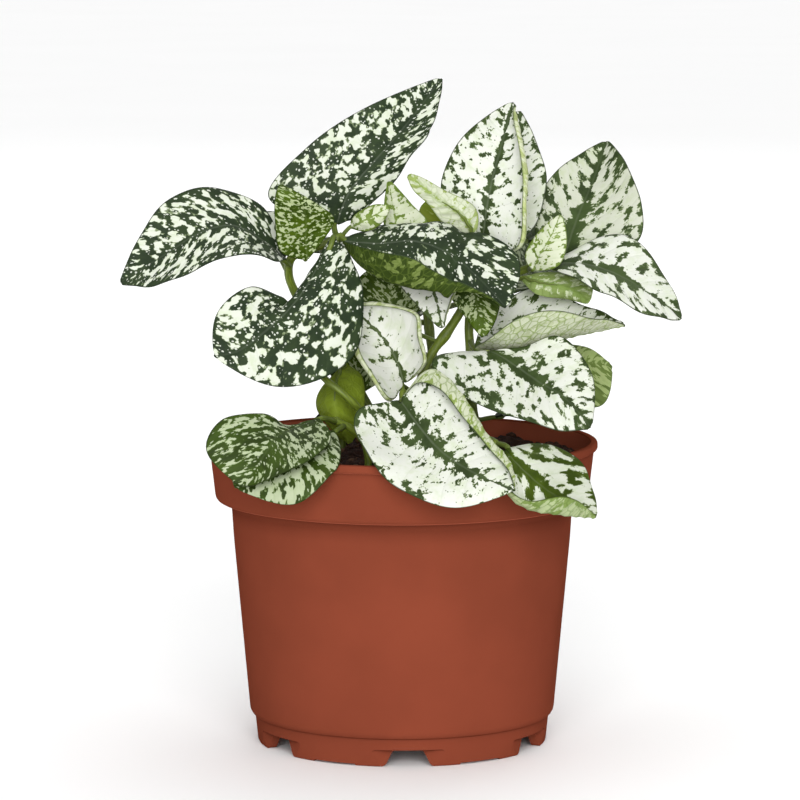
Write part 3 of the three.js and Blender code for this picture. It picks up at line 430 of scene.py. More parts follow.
# Leaves: kind of pattern, share of white (0.5 is the kind's own), pattern seed, and what the leaf
# changes or adds; then its lines, as in the CAD source, with x, y and z of each point in turn: the
# stalk up to the blade, the midrib from base to tip, and one or two lines on the left and the right.
LEAVES = {
    "leaf_top_left": ("dark", 0.42, 1, LIME_EDGE, [-19.5, -5, 155],
        [-20, 2, 158.5, -16, 2, 169, -8, 6, 178.5, 1, 12, 188.5, 12, 20, 202.5],
        [[-40.5, -3, 167.5, -29, 2, 182.5, -11.5, 9, 194]],
        [[-8.5, 5.5, 165, 2.5, 10, 178, 10, 16, 190]]),
    "leaf_far_left": ("dark", 0.42, 2, {}, [-34, -4.5, 147],
        [-35, -9, 149.5, -41.5, -12, 155, -50.5, -15, 160, -60, -19, 158.5, -71, -24, 152, -84, -28, 144],
        [[-38.5, -20, 150, -48.5, -26, 152.5, -59.5, -30, 149, -72, -33, 144]],
        [[-42, -6, 164.5, -56.5, -9, 171, -69.5, -14, 168.5, -78, -20, 158.5]]),
    "leaf_young_left": ("young", 0.38, 3, {}, [-29, -6, 151.5],
        [-28.5, -14, 149.5, -29, -16, 156, -29, -20, 163.5, -31, -23, 168.5, -36, -24, 173],
        [[-36.5, -18, 152.5, -38, -21.5, 162, -37.5, -24, 169]],
        [[-23.5, -15.5, 156, -20.5, -17.5, 162.5, -26.5, -21, 167.5]]),
    "leaf_saddle_left": ("dark", 0.4, 4, {}, [-21, -5.5, 154.5],
        [-21, -15, 157, -27.5, -24, 144.5, -33.5, -30, 136.5, -38, -34, 132.5, -43, -38, 128.5,
         -48.5, -41, 125, -55.5, -43, 123.5],
        [[-14.5, -16, 149, -11.5, -23, 136, -13.5, -31, 124, -23, -39, 117, -38.5, -44, 115]],
        [[-25.5, -10, 148.5, -32.5, -21, 137, -36.5, -25, 139.5, -45, -29, 143, -54.5, -36, 136]]),
    "leaf_bud_low": ("olive", 0.3, 5, PLAIN, [-25, -19, 117.5],
        [-17, -9.5, 117.5, -20, -17.5, 111.5, -20, -20, 104.5, -16, -16, 94],
        [[-24, -13, 111, -25.5, -14, 103.5]], [[-12, -11, 113, -11.5, -14, 103.5]]),
    "leaf_young_low": ("young", 0.42, 43, {}, [4.5, -3, 107],
        [-4, -5, 114, -9.5, -5, 115, -16, -5.5, 114.5, -22, -4, 114], [[-9, -5, 110, -16, -6, 107.5]],
        [[-8.5, -3, 121, -16.5, -3.5, 121]]),
    "leaf_rim_left_upper": ("rim", 0.4, 6, SPECKLED, [-20, -27, 102],
        [-25, -36, 104.5, -31, -42, 102.5, -36.5, -50, 101, -39.5, -57, 97.5, -42.5, -61, 93,
         -47, -62, 87.5], [[-21, -47, 100.5, -23.5, -57, 97, -30.5, -64, 94, -39, -66, 90]],
        [[-33.5, -40, 102, -41.5, -46, 107, -53, -51, 105.5, -57, -57, 97.5]]),
    "leaf_rim_left_lower": ("rim", 0.56, 7, {}, [-17.5, -26, 100.6],
        [-20.5, -34, 100.5, -26, -46, 98.5, -33, -57, 92.5, -41, -59, 88, -49, -57, 86.5],
        [[-18, -50, 96.5, -20.5, -61, 91, -32, -63, 82.5]],
        [[-32, -40.5, 99.5, -43.5, -46, 96.5, -49, -52, 91.5]]),
    "leaf_front_white": ("white", 0.5, 8, {}, [0, -20, 103, -0.5, -30, 108],
        [-0.5, -38, 110, 4.5, -47, 104, 11, -56, 97.5, 18.5, -63, 93, 25.5, -67.5, 90, 32.5, -70, 87.5],
        [[9, -36, 118, 18.5, -46, 110.5, 25, -56, 101, 31, -62, 94.5], [6.5, -40, 115.5, 14.5, -50, 111,
         22.5, -59.5, 101.5, 29, -65, 95]],
        [[-13.5, -44, 107, -10, -61, 96.5, 0.5, -69, 87, 15.5, -72, 83]]),
    "leaf_rim_right": ("fresh", 0.5, 9, {}, [28, -40, 97],
        [30.5, -46, 96.5, 34, -55, 93, 39.5, -57, 88, 46, -54, 83, 57.5, -46, 76],
        [[35, -42, 96.5, 44.5, -40, 97, 54, -38, 90]],
        [[31, -63, 86, 37.5, -63, 81, 46.5, -58, 78.5], [31, -67, 88, 38, -68, 84, 48, -62, 84.5]]),
    "leaf_cupped_centre": ("snow", 0.6, 10, CUPPED, [0.5, -17, 109],
        [0.5, -14, 112, -1, -13, 117, -3, -12, 121.5, -6, -12, 126, -11, -12, 131, -15.5, -14, 136.5],
        [[-5, -24, 107, -10, -25.5, 114, -14.5, -25, 121.5, -16, -21.5, 129.5]],
        [[8.5, -20, 118.5, 7, -18.5, 127, 5.5, -17, 134.5, -5.5, -15, 137.5]]),
    "leaf_right_lower": ("white", 0.43, 11, {}, [21, 3.5, 114, 21.5, -8, 118],
        [22, -14, 121.5, 27, -17, 122, 33, -21, 119, 41, -27, 114, 48.5, -34, 110, 56, -40, 102],
        [[25.5, -16, 122, 36, -16, 123.5, 48.5, -18, 126.5, 57, -27, 115.5]],
        [[9.5, -24, 120.5, 14, -33, 112.5, 29, -39, 106.5, 45, -43, 102]]),
    "leaf_right_lower_back": ("rim", 0.46, 12, BACK_OLIVE, [21, 4, 111],
        [41, 4, 113.5, 48.5, 2, 115.5, 56, 0, 116.5, 64, -3, 116], [[47.5, 6, 121, 56, 4, 121]],
        [[48.5, -4, 105.5, 60.5, -6, 104.5]]),
    "leaf_right_folded": ("snow", 0.4, 13, NETTED, [21, 4, 123],
        [22, -6, 122, 31.5, -8, 122, 41.5, -8.5, 124, 51.5, -9, 126, 67.5, -12, 129.5],
        [[27, 3, 132, 39.5, 6, 139.5, 54.5, 0, 135.5]],
        [[28.5, -20, 128, 40, -24, 135, 53.5, -22, 133.5]]),
    "leaf_far_right": ("white", 0.42, 14, BROAD, [44, 4, 146.5],
        [43.5, -3.5, 147, 54.5, -8, 148, 64, -13, 145.5, 74, -17, 140, 84, -21, 132.5],
        [[55.5, 3, 152.5, 68, 2, 156, 79.5, -8, 144.5]],
        [[53.5, -18, 143.5, 62.5, -24, 139.5, 74.5, -26, 134]]),
    "leaf_top_right": ("white", 0.38, 15, SHADED, [42, 5, 146],
        [49.5, 10, 146.5, 52, 12, 154.5, 55, 16, 162, 59, 20, 170.5, 63.5, 28, 182.5],
        [[41.5, 15, 153, 42.5, 19, 166, 49.5, 24, 175]],
        [[71.5, 6, 152.5, 73.5, 9, 164.5, 69, 17, 176.5]]),
    "leaf_top_centre": ("white", 0.54, 16, SPARSE, [24.5, -1, 148.5],
        [24.5, 2, 152.5, 25.5, -1, 162, 27.5, 1, 172.5, 30.5, 6, 183, 34, 14, 195.5],
        [[15, 0, 159.5, 12, -1, 172.5, 19, 3, 186]], [[37, -8, 151, 39.5, -9, 166.5, 38.5, -2, 183]]),
    "leaf_top_centre_back": ("white", 0.5, 17, ROLLED, [30, 8, 140.5],
        [32, 13, 150, 32.5, 15, 161, 34.5, 17, 171.5, 36, 21, 181, 36.5, 27, 192],
        [[25.5, 14, 158, 23.5, 16, 170, 28, 20, 183.5]], [[41, 12, 158, 44.5, 14, 171, 42, 20, 181.5]]),
    "leaf_young_right": ("pale", 0.72, 18, FINE, [39, 6, 145],
        [40, -6, 145.5, 41.5, -8, 150, 44.5, -9, 155, 48, -8, 162.5], [[37.5, -6, 150, 41, -6, 156.5]],
        [[47, -12, 147.5, 49.5, -11, 154]]),
    "leaf_rolled_right": ("pale", 0.3, 19, GREENER, [34, 7.5, 142.5],
        [36, -1.5, 143, 42.5, -4.5, 141.5, 51, -7, 140, 56.5, -9, 136], [[40.5, -4, 138.5, 50, -6, 137]],
        [[44, -2, 144.5, 56.5, -3, 143]]),
    "leaf_centre_dark": ("dark", 0.28, 20, CREASED, [-19, -5.2, 155.4],
        [-18, -9, 155, -6.5, -13, 154.5, 4, -17, 155.5, 14.5, -22, 152, 23.5, -26, 144.5, 31, -28, 136.5],
        [[-9, -4, 158.5, 3, -5, 159, 16, -9, 160, 34.5, -16, 151]],
        [[-11, -20, 147, 0, -27, 143, 11.5, -31, 142, 22, -30, 141.5], [-8.5, -25, 153.5, 2, -32, 152,
         13, -34, 146.5, 23.5, -31, 142]]),
    "leaf_hanging_white": ("snow", 0.5, 21, HANGING, [22, -3, 141.5, 15, -7, 147],
        [8, -10, 148.5, 9, -13, 143, 10.5, -16, 137, 12, -19, 129.5],
        [[17.5, -13, 143.5, 15.5, -16, 136.5]], [[-1, -13, 143.5, 5, -17, 136]]),
    "leaf_hanging_dark": ("young", 0.36, 22, {}, [22.5, -2.7, 144],
        [20.5, -9, 146, 22, -12, 139.5, 23, -14, 133.5, 24.5, -16, 126.5],
        [[29, -12, 139.5, 28.5, -14, 133]], [[14.5, -11, 139.5, 20, -14, 131.5]]),
    "leaf_rolled_centre": ("pale", 0.76, 23, MOTTLED, [23.5, -1.8, 146.5, 24, -5.5, 150.5],
        [22, -5, 155.5, 18, -8, 162.5, 11, -9.5, 167.5, 6, -10.5, 171.5, 2, -10.5, 175],
        [[22.5, -5, 164.5, 13.5, -7, 169.5, 7.5, -9, 173]],
        [[13.5, -6.5, 159.5, 8, -9, 166, 4, -10, 170.5]]),
    "leaf_pale_centre": ("pale", 0.56, 24, {}, [-21.5, -5.5, 154.3, -15, -1.5, 151.5],
        [-3, 0, 154, -2, -1, 160, -3, -2, 166, -4, -4, 172.5], [[-5.5, -3, 159, -5, -4, 166]],
        [[8, -1, 158.5, 2, -2, 166]]),
    "leaf_young_centre": ("pale", 0.45, 35, {}, [-18.5, -5.2, 155.7],
        [-15.5, -6, 158.5, -12.5, -9, 160.5, -8.5, -9.5, 162.5, -4, -8.5, 165],
        [[-14.5, -6, 162, -9, -7, 165]], [[-11, -8, 158, -6.5, -9, 160.5]]),
    "leaf_olive_centre": ("olive", 0.35, 36, {}, [23.3, -2, 146, 20, 3, 150.5],
        [16, 5, 155, 12, 6, 159.5, 10, 7, 163, 8.5, 8, 166], [[7.5, 5, 159, 6, 6, 163]],
        [[14.5, 8, 160, 12, 9, 164]]),
    "leaf_shaded_centre": ("young", 0.35, 25, {}, [11.5, -2, 123],
        [-3, 4, 129.5, -3, 3, 134, -3.5, 4, 138.5, -4.5, 6, 147], [[-12, 2, 134, -13.5, 4, 141]],
        [[6.5, 2, 133.5, 7, 4, 140]]),
    "leaf_left_inner": ("dark", 0.45, 37, {}, [-17.5, 6, 113.5],
        [-25, 8, 115.5, -32, 10, 118.5, -40, 14, 121.5, -48, 18, 123, -54, 22, 122.5],
        [[-31, 0, 116.5, -41, 1, 119, -49.5, 9, 121]],
        [[-30.5, 18, 119.5, -39, 25.5, 122, -49, 26, 123]]),
    "leaf_right_inner": ("white", 0.48, 38, {}, [21, 3.1, 117],
        [28, 11, 119, 35, 15.5, 121, 43, 20, 121.5, 51, 24.5, 119.5, 58, 29, 114.5],
        [[30, 23, 122.5, 37, 31, 123, 47, 34, 120]], [[38, 9.5, 119.5, 48.5, 13, 120, 56, 20, 118]]),
    "leaf_right_low": ("dark", 0.55, 39, {}, [22.5, 5.2, 98],
        [28.5, 8, 99, 35, 10, 101.5, 41.5, 12.5, 102.5, 48, 15, 102, 53, 17, 100.5],
        [[32, 16, 100.5, 39.5, 21, 101, 47, 21.5, 101]],
        [[37, 2.5, 100.5, 44.5, 3, 101, 51.5, 9, 100.5]]),
    "leaf_back_left_inner": ("white", 0.52, 40, {}, [-25, -6, 153],
        [-22.5, 4, 149.5, -22.5, 14, 152.5, -22, 25, 153, -21, 36, 151, -20, 46, 146],
        [[-30.5, 12, 150.5, -31.5, 24, 150.5, -28, 37, 149]],
        [[-14, 14, 151.5, -11, 26, 152, -13, 38, 150]]),
    "leaf_back_left_rim": ("dark", 0.5, 41, {}, [-20.2, 28.2, 99, -21, 41, 101],
        [-21.5, 53, 98.5, -22, 60.5, 96.5, -23.5, 66.5, 88, -25, 69.5, 78, -26, 70.5, 68],
        [[-25, 58.5, 94.5, -33, 62.5, 84, -32, 66.5, 75]],
        [[-15, 61.5, 95, -11.5, 66.5, 85, -16, 69.5, 76]]),
    "leaf_back_left_base": ("rim", 0.5, 42, {}, [-20.9, 30, 103.5],
        [-21.5, 35, 104, -21.5, 42, 105, -22, 50, 104, -22.5, 58, 100.5],
        [[-25.5, 42, 103, -24.5, 51, 101.5]], [[-16.5, 44, 104.5, -16.5, 52, 103.5]]),
    "leaf_back_left_low": ("dark", 0.5, 26, {}, [9.5, 21, 116.5],
        [-15.5, 24, 117.5, -22.5, 33, 118.5, -31, 44, 119, -41, 55, 119.5, -51, 64, 117],
        [[-28.5, 27, 114, -40, 36, 113, -48.5, 49, 115]],
        [[-14.5, 39, 123, -21.5, 52, 126, -35.5, 62, 124]]),
    "leaf_back_right_low": ("white", 0.5, 27, {}, [10.7, 22.2, 106],
        [30.5, 24, 107, 37, 34, 107.5, 45.5, 46, 107, 53, 57, 105, 60.5, 68, 100.5],
        [[28.5, 40, 112.5, 35.5, 53, 113, 46.5, 63, 109]],
        [[45.5, 28.5, 103, 55.5, 39, 101, 60, 53, 101]]),
    "leaf_back_left_high": ("dark", 0.55, 28, {}, [8.3, 24, 149.5],
        [-14.5, 26, 157.5, -16.5, 33, 163, -20, 42, 168.5, -24, 52, 173, -29, 64, 175],
        [[-25, 29, 163, -31.5, 37, 169, -32.5, 50, 174]],
        [[-10.5, 34, 166, -12.5, 46, 172, -18, 57, 176]]),
    "leaf_back_right_high": ("white", 0.5, 29, {}, [8, 23.4, 147],
        [39, 26, 152, 45, 34, 155, 52.5, 44, 159.5, 61, 54, 162.5, 70.5, 64, 163],
        [[36.5, 40, 160, 43.5, 53, 166, 56, 62, 168]], [[52.5, 28.5, 153, 62, 36, 156, 68.5, 49, 159]]),
    "leaf_back_centre": ("dark", 0.5, 30, {}, [8.3, 20.2, 127],
        [3, 22, 127, 2, 32, 131, -0.5, 44, 135.5, -3, 55, 138.5, -5.5, 66, 141],
        [[-8, 30, 129.5, -12, 43, 134, -11, 57, 138]], [[12, 34, 132, 12.5, 46, 137, 5, 59, 140]]),
    "leaf_back_rim": ("rim", 0.55, 31, {}, [12, 24, 94],
        [7, 30, 94, 8, 42, 95, 9, 54, 96, 10.5, 62, 95.5, 12.5, 72, 91.5],
        [[-3, 40, 94, -5, 54, 95, 1, 66, 94]], [[18, 40, 94.5, 22, 53, 95.5, 20, 64, 94.5]]),
    "leaf_back_right_mid": ("rim", 0.36, 32, {}, [8.2, 20.6, 130],
        [22, 27, 133, 30, 35, 138, 39.5, 45, 142.5, 49, 54, 142, 56, 62, 137],
        [[22, 40, 143, 29, 52, 149.5, 41, 60, 149]], [[39, 28.5, 136, 49.5, 36, 138, 56, 48, 136.5]]),
    "leaf_back_left_mid": ("dark", 0.55, 33, {}, [-34.5, -2.8, 144.3],
        [-36, 6, 148, -41.5, 14, 152.5, -49, 25, 156.5, -57, 37, 157, -64, 48, 153],
        [[-50, 8, 151, -60, 18, 154, -65, 33, 155]],
        [[-33.5, 19.5, 156, -39.5, 32, 160, -51, 43, 159.5]]),
    "leaf_back_top": ("white", 0.45, 34, {}, [8.4, 23.9, 149.5],
        [18, 28, 156, 20, 34, 162, 23, 40, 169.5, 26, 46, 177, 28, 52, 184],
        [[12.5, 36, 161, 13.5, 44, 169, 19, 50, 178]], [[30, 31, 161.5, 34.5, 37, 169, 33.5, 44, 178]]),
}

# Side veins: their slant and how they bend with the distance from the midrib, how far those on the
# right are shifted, and how much nearer a vein is than it seems along the midrib.
VEIN_SLANT, VEIN_BEND, VEIN_SHIFT, VEIN_NEARER = 0.5, 0.012, 0.37, 0.85
SEED_STEP = 7.3  # between the slices of noise that two seeds take
# scales of the pattern's noises, per millimetre, and how much each does
WOBBLE_SCALE, WOBBLE = 1.7, (0.45, 0.45, 0)
SLOW_SCALE, SLOW = 0.11, 0.3
RAGGED_SCALE = 2.1
SPECK_SCALE, SPECK_SMALLEST, SPECK_SOFT = 1.05, 0.13, 0.03
LEVEL_PER_SHARE = 0.30  # how far the level of white sinks as its share goes from none to all


def leaf_coordinates(g, spacing):
    """Across and along the blade, then the distances from the midrib, the nearest side vein and the
    margin, all in millimetres, and the share of the way to the tip."""
    across, along, _ = g.uv("leaf_mm")
    rim, share, _ = g.uv("leaf_rel")
    away = g.math("ABSOLUTE", across)
    behind = g.math("MULTIPLY", g.math("MULTIPLY_ADD", away, VEIN_BEND, VEIN_SLANT), away)
    lane = g.math("SUBTRACT", along, behind)
    side = g.math("MULTIPLY", g.math("GREATER_THAN", across, 0), VEIN_SHIFT)
    phase = g.math("FRACT", g.math("MULTIPLY_ADD", lane, 1 / spacing, side))
    near = g.math("ABSOLUTE", g.math("SUBTRACT", phase, 0.5))
    return across, along, away, g.math("MULTIPLY", near, spacing * VEIN_NEARER), rim, share


def polka(g, kind, white_share, seed, spacing, size):
    """How far each point is above the level of white, the specks, and where each point is."""
    across, along, away, near, rim, share = leaf_coordinates(g, spacing)
    drawn = g.math("MULTIPLY_ADD", away, -kind["lean"], along)
    flat = g.vector(g.math("MULTIPLY", across, kind["aspect"]), drawn, seed * SEED_STEP)
    inputs = {"Scale": WOBBLE_SCALE, "Detail": 1.0, "Vector": flat}
    inputs = {0: g.node("ShaderNodeTexNoise", inputs).outputs["Color"], 1: WOBBLE, 2: flat}
    spot = g.node("ShaderNodeVectorMath", inputs, operation="MULTIPLY_ADD").outputs[0]
    # the pattern itself: splashes, slow changes over the blade, and ragged edges
    value = g.noise(spot, kind["scale"], kind["detail"], 0.5)
    slow = g.math("SUBTRACT", g.noise(flat, SLOW_SCALE, 1.0, 0.5), 0.5)
    value = g.math("MULTIPLY_ADD", slow, SLOW, value)
    ragged = g.math("SUBTRACT", g.noise(spot, RAGGED_SCALE, 2.0, 0.6), 0.5)
    value = g.math("MULTIPLY_ADD", ragged, 2 * kind["ragged"], value)
    # the level of white rises towards the midrib, the side veins and the margin, and at a crease, where the
    # greener band is painted shade in the fold
    width = kind["rib_width"] * size
    reach = g.math("MULTIPLY_ADD", share, -0.85 * width, width)
    rib_near = g.math("SUBTRACT", 1.0, g.math("DIVIDE", away, reach), clamp=True)
    vein_near = g.remap(near, 0.1, 0.3 + 0.9 * size, 1, 0)
    rim_near = g.remap(rim, 0.3, 0.4 + 2.2 * size, 1, 0)
    level = kind["level"] + LEVEL_PER_SHARE * (0.5 - white_share)
    limit = g.math("MULTIPLY_ADD", rib_near, kind["rib"], level)
    limit = g.math("MULTIPLY_ADD", vein_near, kind["vein"], limit)
    limit = g.math("MULTIPLY_ADD", rim_near, kind["margin"], limit)
    place, _, wide = kind["crease"]
    # painted shade: along a crease the level of white rises, so the fold turns greener
    if wide > 0:
        off = g.math("ABSOLUTE", g.math("SUBTRACT", share, place))
        limit = g.math("ADD", g.remap(off, 0.3 * wide, 1.4 * wide, 0.4, 0), limit)
    excess = g.math("SUBTRACT", value, limit)
    # specks: round cells, of which a share is kept, each with its own radius
    grains = g.cells(spot, SPECK_SCALE)
    chance = g.node("ShaderNodeSeparateXYZ", {0: grains["Color"]}).outputs
    radius = g.math("MULTIPLY_ADD", chance[1], kind["speck"], SPECK_SMALLEST)
    inside = g.remap(g.math("SUBTRACT", grains["Distance"], radius), -SPECK_SOFT, SPECK_SOFT, 1, 0)
    specks = g.math("MULTIPLY", inside, g.math("LESS_THAN", chance[0], kind["specks"]))
    return excess, specks, away, near, rim, share, flat


def leaf_upper(name, kind, *pattern):
    g = Graph(name)
    excess, specks, away, near, rim, share, flat = polka(g, kind, *pattern)
    dark, green, white = kind["green"], kind["green2"], kind["white"]
    ground = g.mix(g.remap(g.noise(flat, 0.14, 3.0, 0.6), 0.35, 0.65), dark, green)
    soft = g.remap(g.noise(flat, 0.35, 3.0, 0.6), 0.42, 0.72)
    splash = g.mix(soft, white, tuple(c * f for c, f in zip(white, (0.88, 0.93, 0.80))))
    if kind["green_specks"]:
        splash = g.mix(specks, splash, green)
    else:
        ground = g.mix(g.math("MULTIPLY", specks, 0.9), ground, white)
    # a splash has a soft edge of a colour between green and white
    colour = g.mix(g.remap(excess, -0.045, -0.004), ground, blend(green, white, 0.4, (0.70, 0.82, 0.50)))
    colour = g.mix(g.remap(excess, -0.003, 0.006), colour, splash)
    ribs = g.math("MULTIPLY", g.remap(away, 0.15, 0.5, 0.5, 0), g.remap(share, 0.1, 0.9, 1, 0.3))
    colour = g.mix(ribs, colour, blend(green, white, 0.12))
    colour = g.mix(g.remap(near, 0.08, 0.22, 0.06, 0), colour, green)
    colour = g.mix(g.remap(rim, 0.10, 0.40, 0.9, 0), colour, dark)
    grain = g.noise(flat, 2.2, 4.0, 0.6)
    height = g.math("SUBTRACT", grain, g.remap(near, 0.1, 0.6, 0.8, 0))
    g.bump(height, 0.3, 0.00025)
    return g.finish(colour, g.remap(grain, 0.3, 0.7, 0.44, 0.60), 0.10)


def leaf_lower(name, kind, *pattern):
    g = Graph(name)
    ground, patch, vein, amount = kind["under"]
    veined = kind["veined"]
    excess, _, away, near, rim, _, flat = polka(g, kind, *pattern)
    base = g.mix(g.remap(g.noise(flat, 0.25, 3.0, 0.6), 0.35, 0.68), ground, tuple(0.8 * c for c in ground))
    colour = g.mix(g.remap(excess, -0.015, 0.015, 0, amount), base, patch)
    net = g.cells(flat, 0.5, "DISTANCE_TO_EDGE")["Distance"]
    colour = g.mix(g.remap(net, 0.0, 0.12, 0.55 * veined, 0), colour, vein)
    inner = g.remap(rim, 1.5, 4.5)
    colour = g.mix(g.math("MULTIPLY", g.remap(near, 0.10, 0.45, 0.35 * veined, 0), inner), colour, vein)
    colour = g.mix(g.remap(away, 0.4, 1.1, 0.75 * veined, 0), colour, vein)
    colour = g.mix(g.remap(rim, 0.1, 0.5, 0.7, 0), colour, kind["green2"])
    grain = g.noise(flat, 2.0, 3.0, 0.6)
    g.bump(g.math("ADD", grain, g.remap(net, 0.0, 0.14, 0.8, 0)), 0.4, 0.0003)
    return g.finish(colour, g.remap(grain, 0.3, 0.7, 0.5, 0.65), 0.08)


def stem_material(name, low, high):
    g = Graph(name)
    _, _, flat = g.uv("stem_mm")
    streak = g.node("ShaderNodeMapping", {"Vector": flat, "Scale": (1.6, 0.16, 1)})
    tone = g.noise(streak.outputs[0], 1.0, 4.0, 0.6)
    colour = g.mix(g.remap(tone, 0.35, 0.68), low, high)
    spots = g.noise(flat, 1.4, 2.0, 0.5)
    colour = g.mix(g.remap(spots, 0.60, 0.70, 0, 0.5), colour, rgb(148, 164, 70))
    g.bump(g.noise(flat, 3.0, 3.0, 0.6), 0.4, 0.0002)
    return g.finish(colour, g.remap(spots, 0.3, 0.7, 0.4, 0.55), 0.4)


# ---- leaves ----
BLADE_THICKNESS = 0.5  # in millimetres; the CAD source has thicker ones
HALF_COLUMNS, HALF_COLUMNS_FOLDED, MORE_COLUMNS_ROLLED = 18, 26, 8
FULL_SIZE = 45  # length in millimetres from which a blade's relief has its full depth
VEINS_PER_BLADE, VEINS_CLOSE, VEINS_WIDE = 8.5, 3.2, 7.5  # how many, and limits of their spacing
# heights of the relief in millimetres
QUILT, GROOVE, WAVE, RIB_RIDGE, VEIN_RIDGE = 0.24, 0.45, 0.42, 0.42, 0.16
WAVE_LENGTH, WAVE_SHIFT = 14.0, 1.9  # along a margin, in millimetres, and between both, in radians
MARGIN_FADE, END_FADE = 0.25, 0.12  # shares of the blade over which the relief fades out
STALK_AT_BLADE, STALK_AT_END = 0.86, 0.20  # radius in millimetres on a blade of full size
# the stalk below the midrib: shares of the blade, and how deep it lies there in millimetres
RUN_ON = ((0.0, 0.07, 0.17, 0.3, 0.45), (0.1, 0.5, 0.35, 0.15, -0.1))


def hill(distance, width):
    """1 at no distance, and falling off smoothly to either side."""
    return np.exp(-((distance / width) ** 2))


def relief(across, along, t, s, spacing, size, seed, crease):
    """Height of the upper face over a plain blade, and of the ridges under it, in millimetres."""
    place, depth, reach = crease
    away = np.abs(across)
    lane = along[:, None] - (VEIN_SLANT + VEIN_BEND * away) * away
    phase = np.mod(lane / spacing + VEIN_SHIFT * (across > 0), 1.0)
    near = np.abs(phase - 0.5) * spacing * VEIN_NEARER
    edge = np.abs(s) * np.ones_like(across)
    fade = np.clip((1 - edge) / MARGIN_FADE, 0, 1)
    t = t[:, None]
    ends = np.clip(np.minimum(t, 1 - t) / END_FADE, 0, 1)
    quilt = QUILT * size * (1 - hill(near, 0.28 * spacing)) * fade
    groove = -GROOVE * size * hill(away, 0.9) * np.clip(1.2 - t, 0.2, 1)
    swing = np.sin(2 * math.pi * along[:, None] / WAVE_LENGTH + seed + (across > 0) * WAVE_SHIFT)
    wave = WAVE * size * edge**4 * ends * swing
    fold = -depth * hill(t - place, max(reach, 0.01))
    ridge = RIB_RIDGE * size * hill(away, 0.5) * np.clip(1.05 - t, 0, 1)
    ridge = ridge + VEIN_RIDGE * size * hill(near, 0.32) * fade
    return quilt + groove + wave + fold, ridge, edge


def blade_faces(rows, columns):
    """Faces round an upper and a lower sheet of points, and the material slot of each face."""
    low = rows * columns
    faces, slots = [], []
    for i in range(rows - 1):
        start, end = i * columns, (i + 1) * columns - 1
        for a in range(start, end):
            faces.append([a, a + 1, a + columns + 1, a + columns])
            faces.append([low + a, low + a + columns, low + a + columns + 1, low + a + 1])
            slots += [0, 1]
        faces.append([start, start + columns, low + start + columns, low + start])
        faces.append([end + columns, end, low + end, low + end + columns])
        slots += [0, 0]
    for a, b in zip(range(columns - 1), range(low - columns, low - 1)):
        faces += [[a + 1, a, low + a, low + a + 1], [b, b + 1, low + b + 1, low + b]]
        slots += [0, 0]
    return faces, slots


def stalk_path(stalk, lower, normal, size):
    """Path and radii of a stalk that runs on below the midrib, where it thins out."""
    last = len(lower) - 1
    rows = np.round(np.linspace(0, RUN_ON[0][-1], 20) * last).astype(int)
    drop = np.interp(rows / last, *RUN_ON) * (0.4 + 0.6 * size)
    below = lower[rows] - normal[rows] * drop[:, None]
    path = centripetal([*stalk, below[0], below[2]], 24)
    path = path[:int(np.argmin(np.linalg.norm(path - below[0], axis=1)))]
    thinning = STALK_AT_BLADE - (STALK_AT_BLADE - STALK_AT_END) * np.linspace(0, 1, len(below)) ** 0.8
    radii = np.concatenate([np.linspace(1.0, STALK_AT_BLADE, len(path)), thinning])
    return np.concatenate([path, below]), radii * min(1.0, 0.55 + 0.45 * size)


def make_leaf(name, kind_name, white_share, seed, changes, stalk, rib, left, right):
    kind = dict(KINDS[kind_name], **changes)
    stalk, rib = xyz(stalk), xyz(rib)
    half = HALF_COLUMNS_FOLDED if len(left) > 1 or len(right) > 1 else HALF_COLUMNS
    if kind["rolls"]:
        half += MORE_COLUMNS_ROLLED
    grid, t, s = blade_grid(rib, [xyz(line) for line in left], [xyz(line) for line in right], half)
    # signed distance from the midrib and distance along it, in millimetres
    along = run_along(grid[:, half])
    step = np.linalg.norm(np.diff(grid, axis=1), axis=2)
    across = np.zeros(grid.shape[:2])
    across[:, half + 1:] = np.cumsum(step[:, half:], axis=1)
    across[:, :half] = -np.cumsum(step[:, :half][:, ::-1], axis=1)[:, ::-1]
    for roll in kind["rolls"]:
        grid = roll_margin(grid, *roll)
    spacing = min(max(along[-1] / VEINS_PER_BLADE, VEINS_CLOSE), VEINS_WIDE)
    size = min(1.0, along[-1] / FULL_SIZE)
    height, ridge, edge = relief(across, along, t, s, spacing, size, seed, kind["crease"])
    grid = grid + grid_normals(grid) * height[..., None]
    # the last tenth towards either margin thins out
    thick = BLADE_THICKNESS * (1 - 0.55 * np.clip((edge - 0.9) / 0.1, 0, 1))
    normal = grid_normals(grid)
    upper = grid + normal * (0.5 * thick)[..., None]
    lower = grid - normal * (0.5 * thick + ridge)[..., None]
    vertices = [*upper.reshape(-1, 3), *lower.reshape(-1, 3)]
    faces, slots = blade_faces(*grid.shape[:2])
    path, radii = stalk_path(stalk, lower[:, half], normal[:, half], size)
    more, more_faces, extra = tube_mesh(path, radii, 12, len(vertices))
    vertices += more
    faces += more_faces
    slots += [2] * len(more_faces)
    # the maps: millimetres across and along; distance from the margin and share of the way to the tip
    away = np.abs(across)
    rim = np.where(across > 0, away[:, [-1]], away[:, [0]]) - away
    rim = np.minimum(rim, (along[-1] - along)[:, None] * 0.8)
    mm, rel = [np.stack([a, b[:, None] * np.ones_like(across)], 2).reshape(-1, 2)
               for a, b in ((across, along), (rim, t))]
    on_blade = np.concatenate([mm, mm, extra])
    in_shares = np.concatenate([rel, rel, np.zeros_like(extra)])
    uvs = {"leaf_mm": on_blade, "leaf_rel": in_shares, "stem_mm": on_blade}
    pattern = (kind, white_share, seed, spacing, size)
    materials = [leaf_upper(name + "_upper", *pattern), leaf_lower(name + "_lower", *pattern), STALK]
    made = make_object(name + "_fine", vertices, faces, materials, slots, uvs)
    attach(made, "root")
    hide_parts(name)


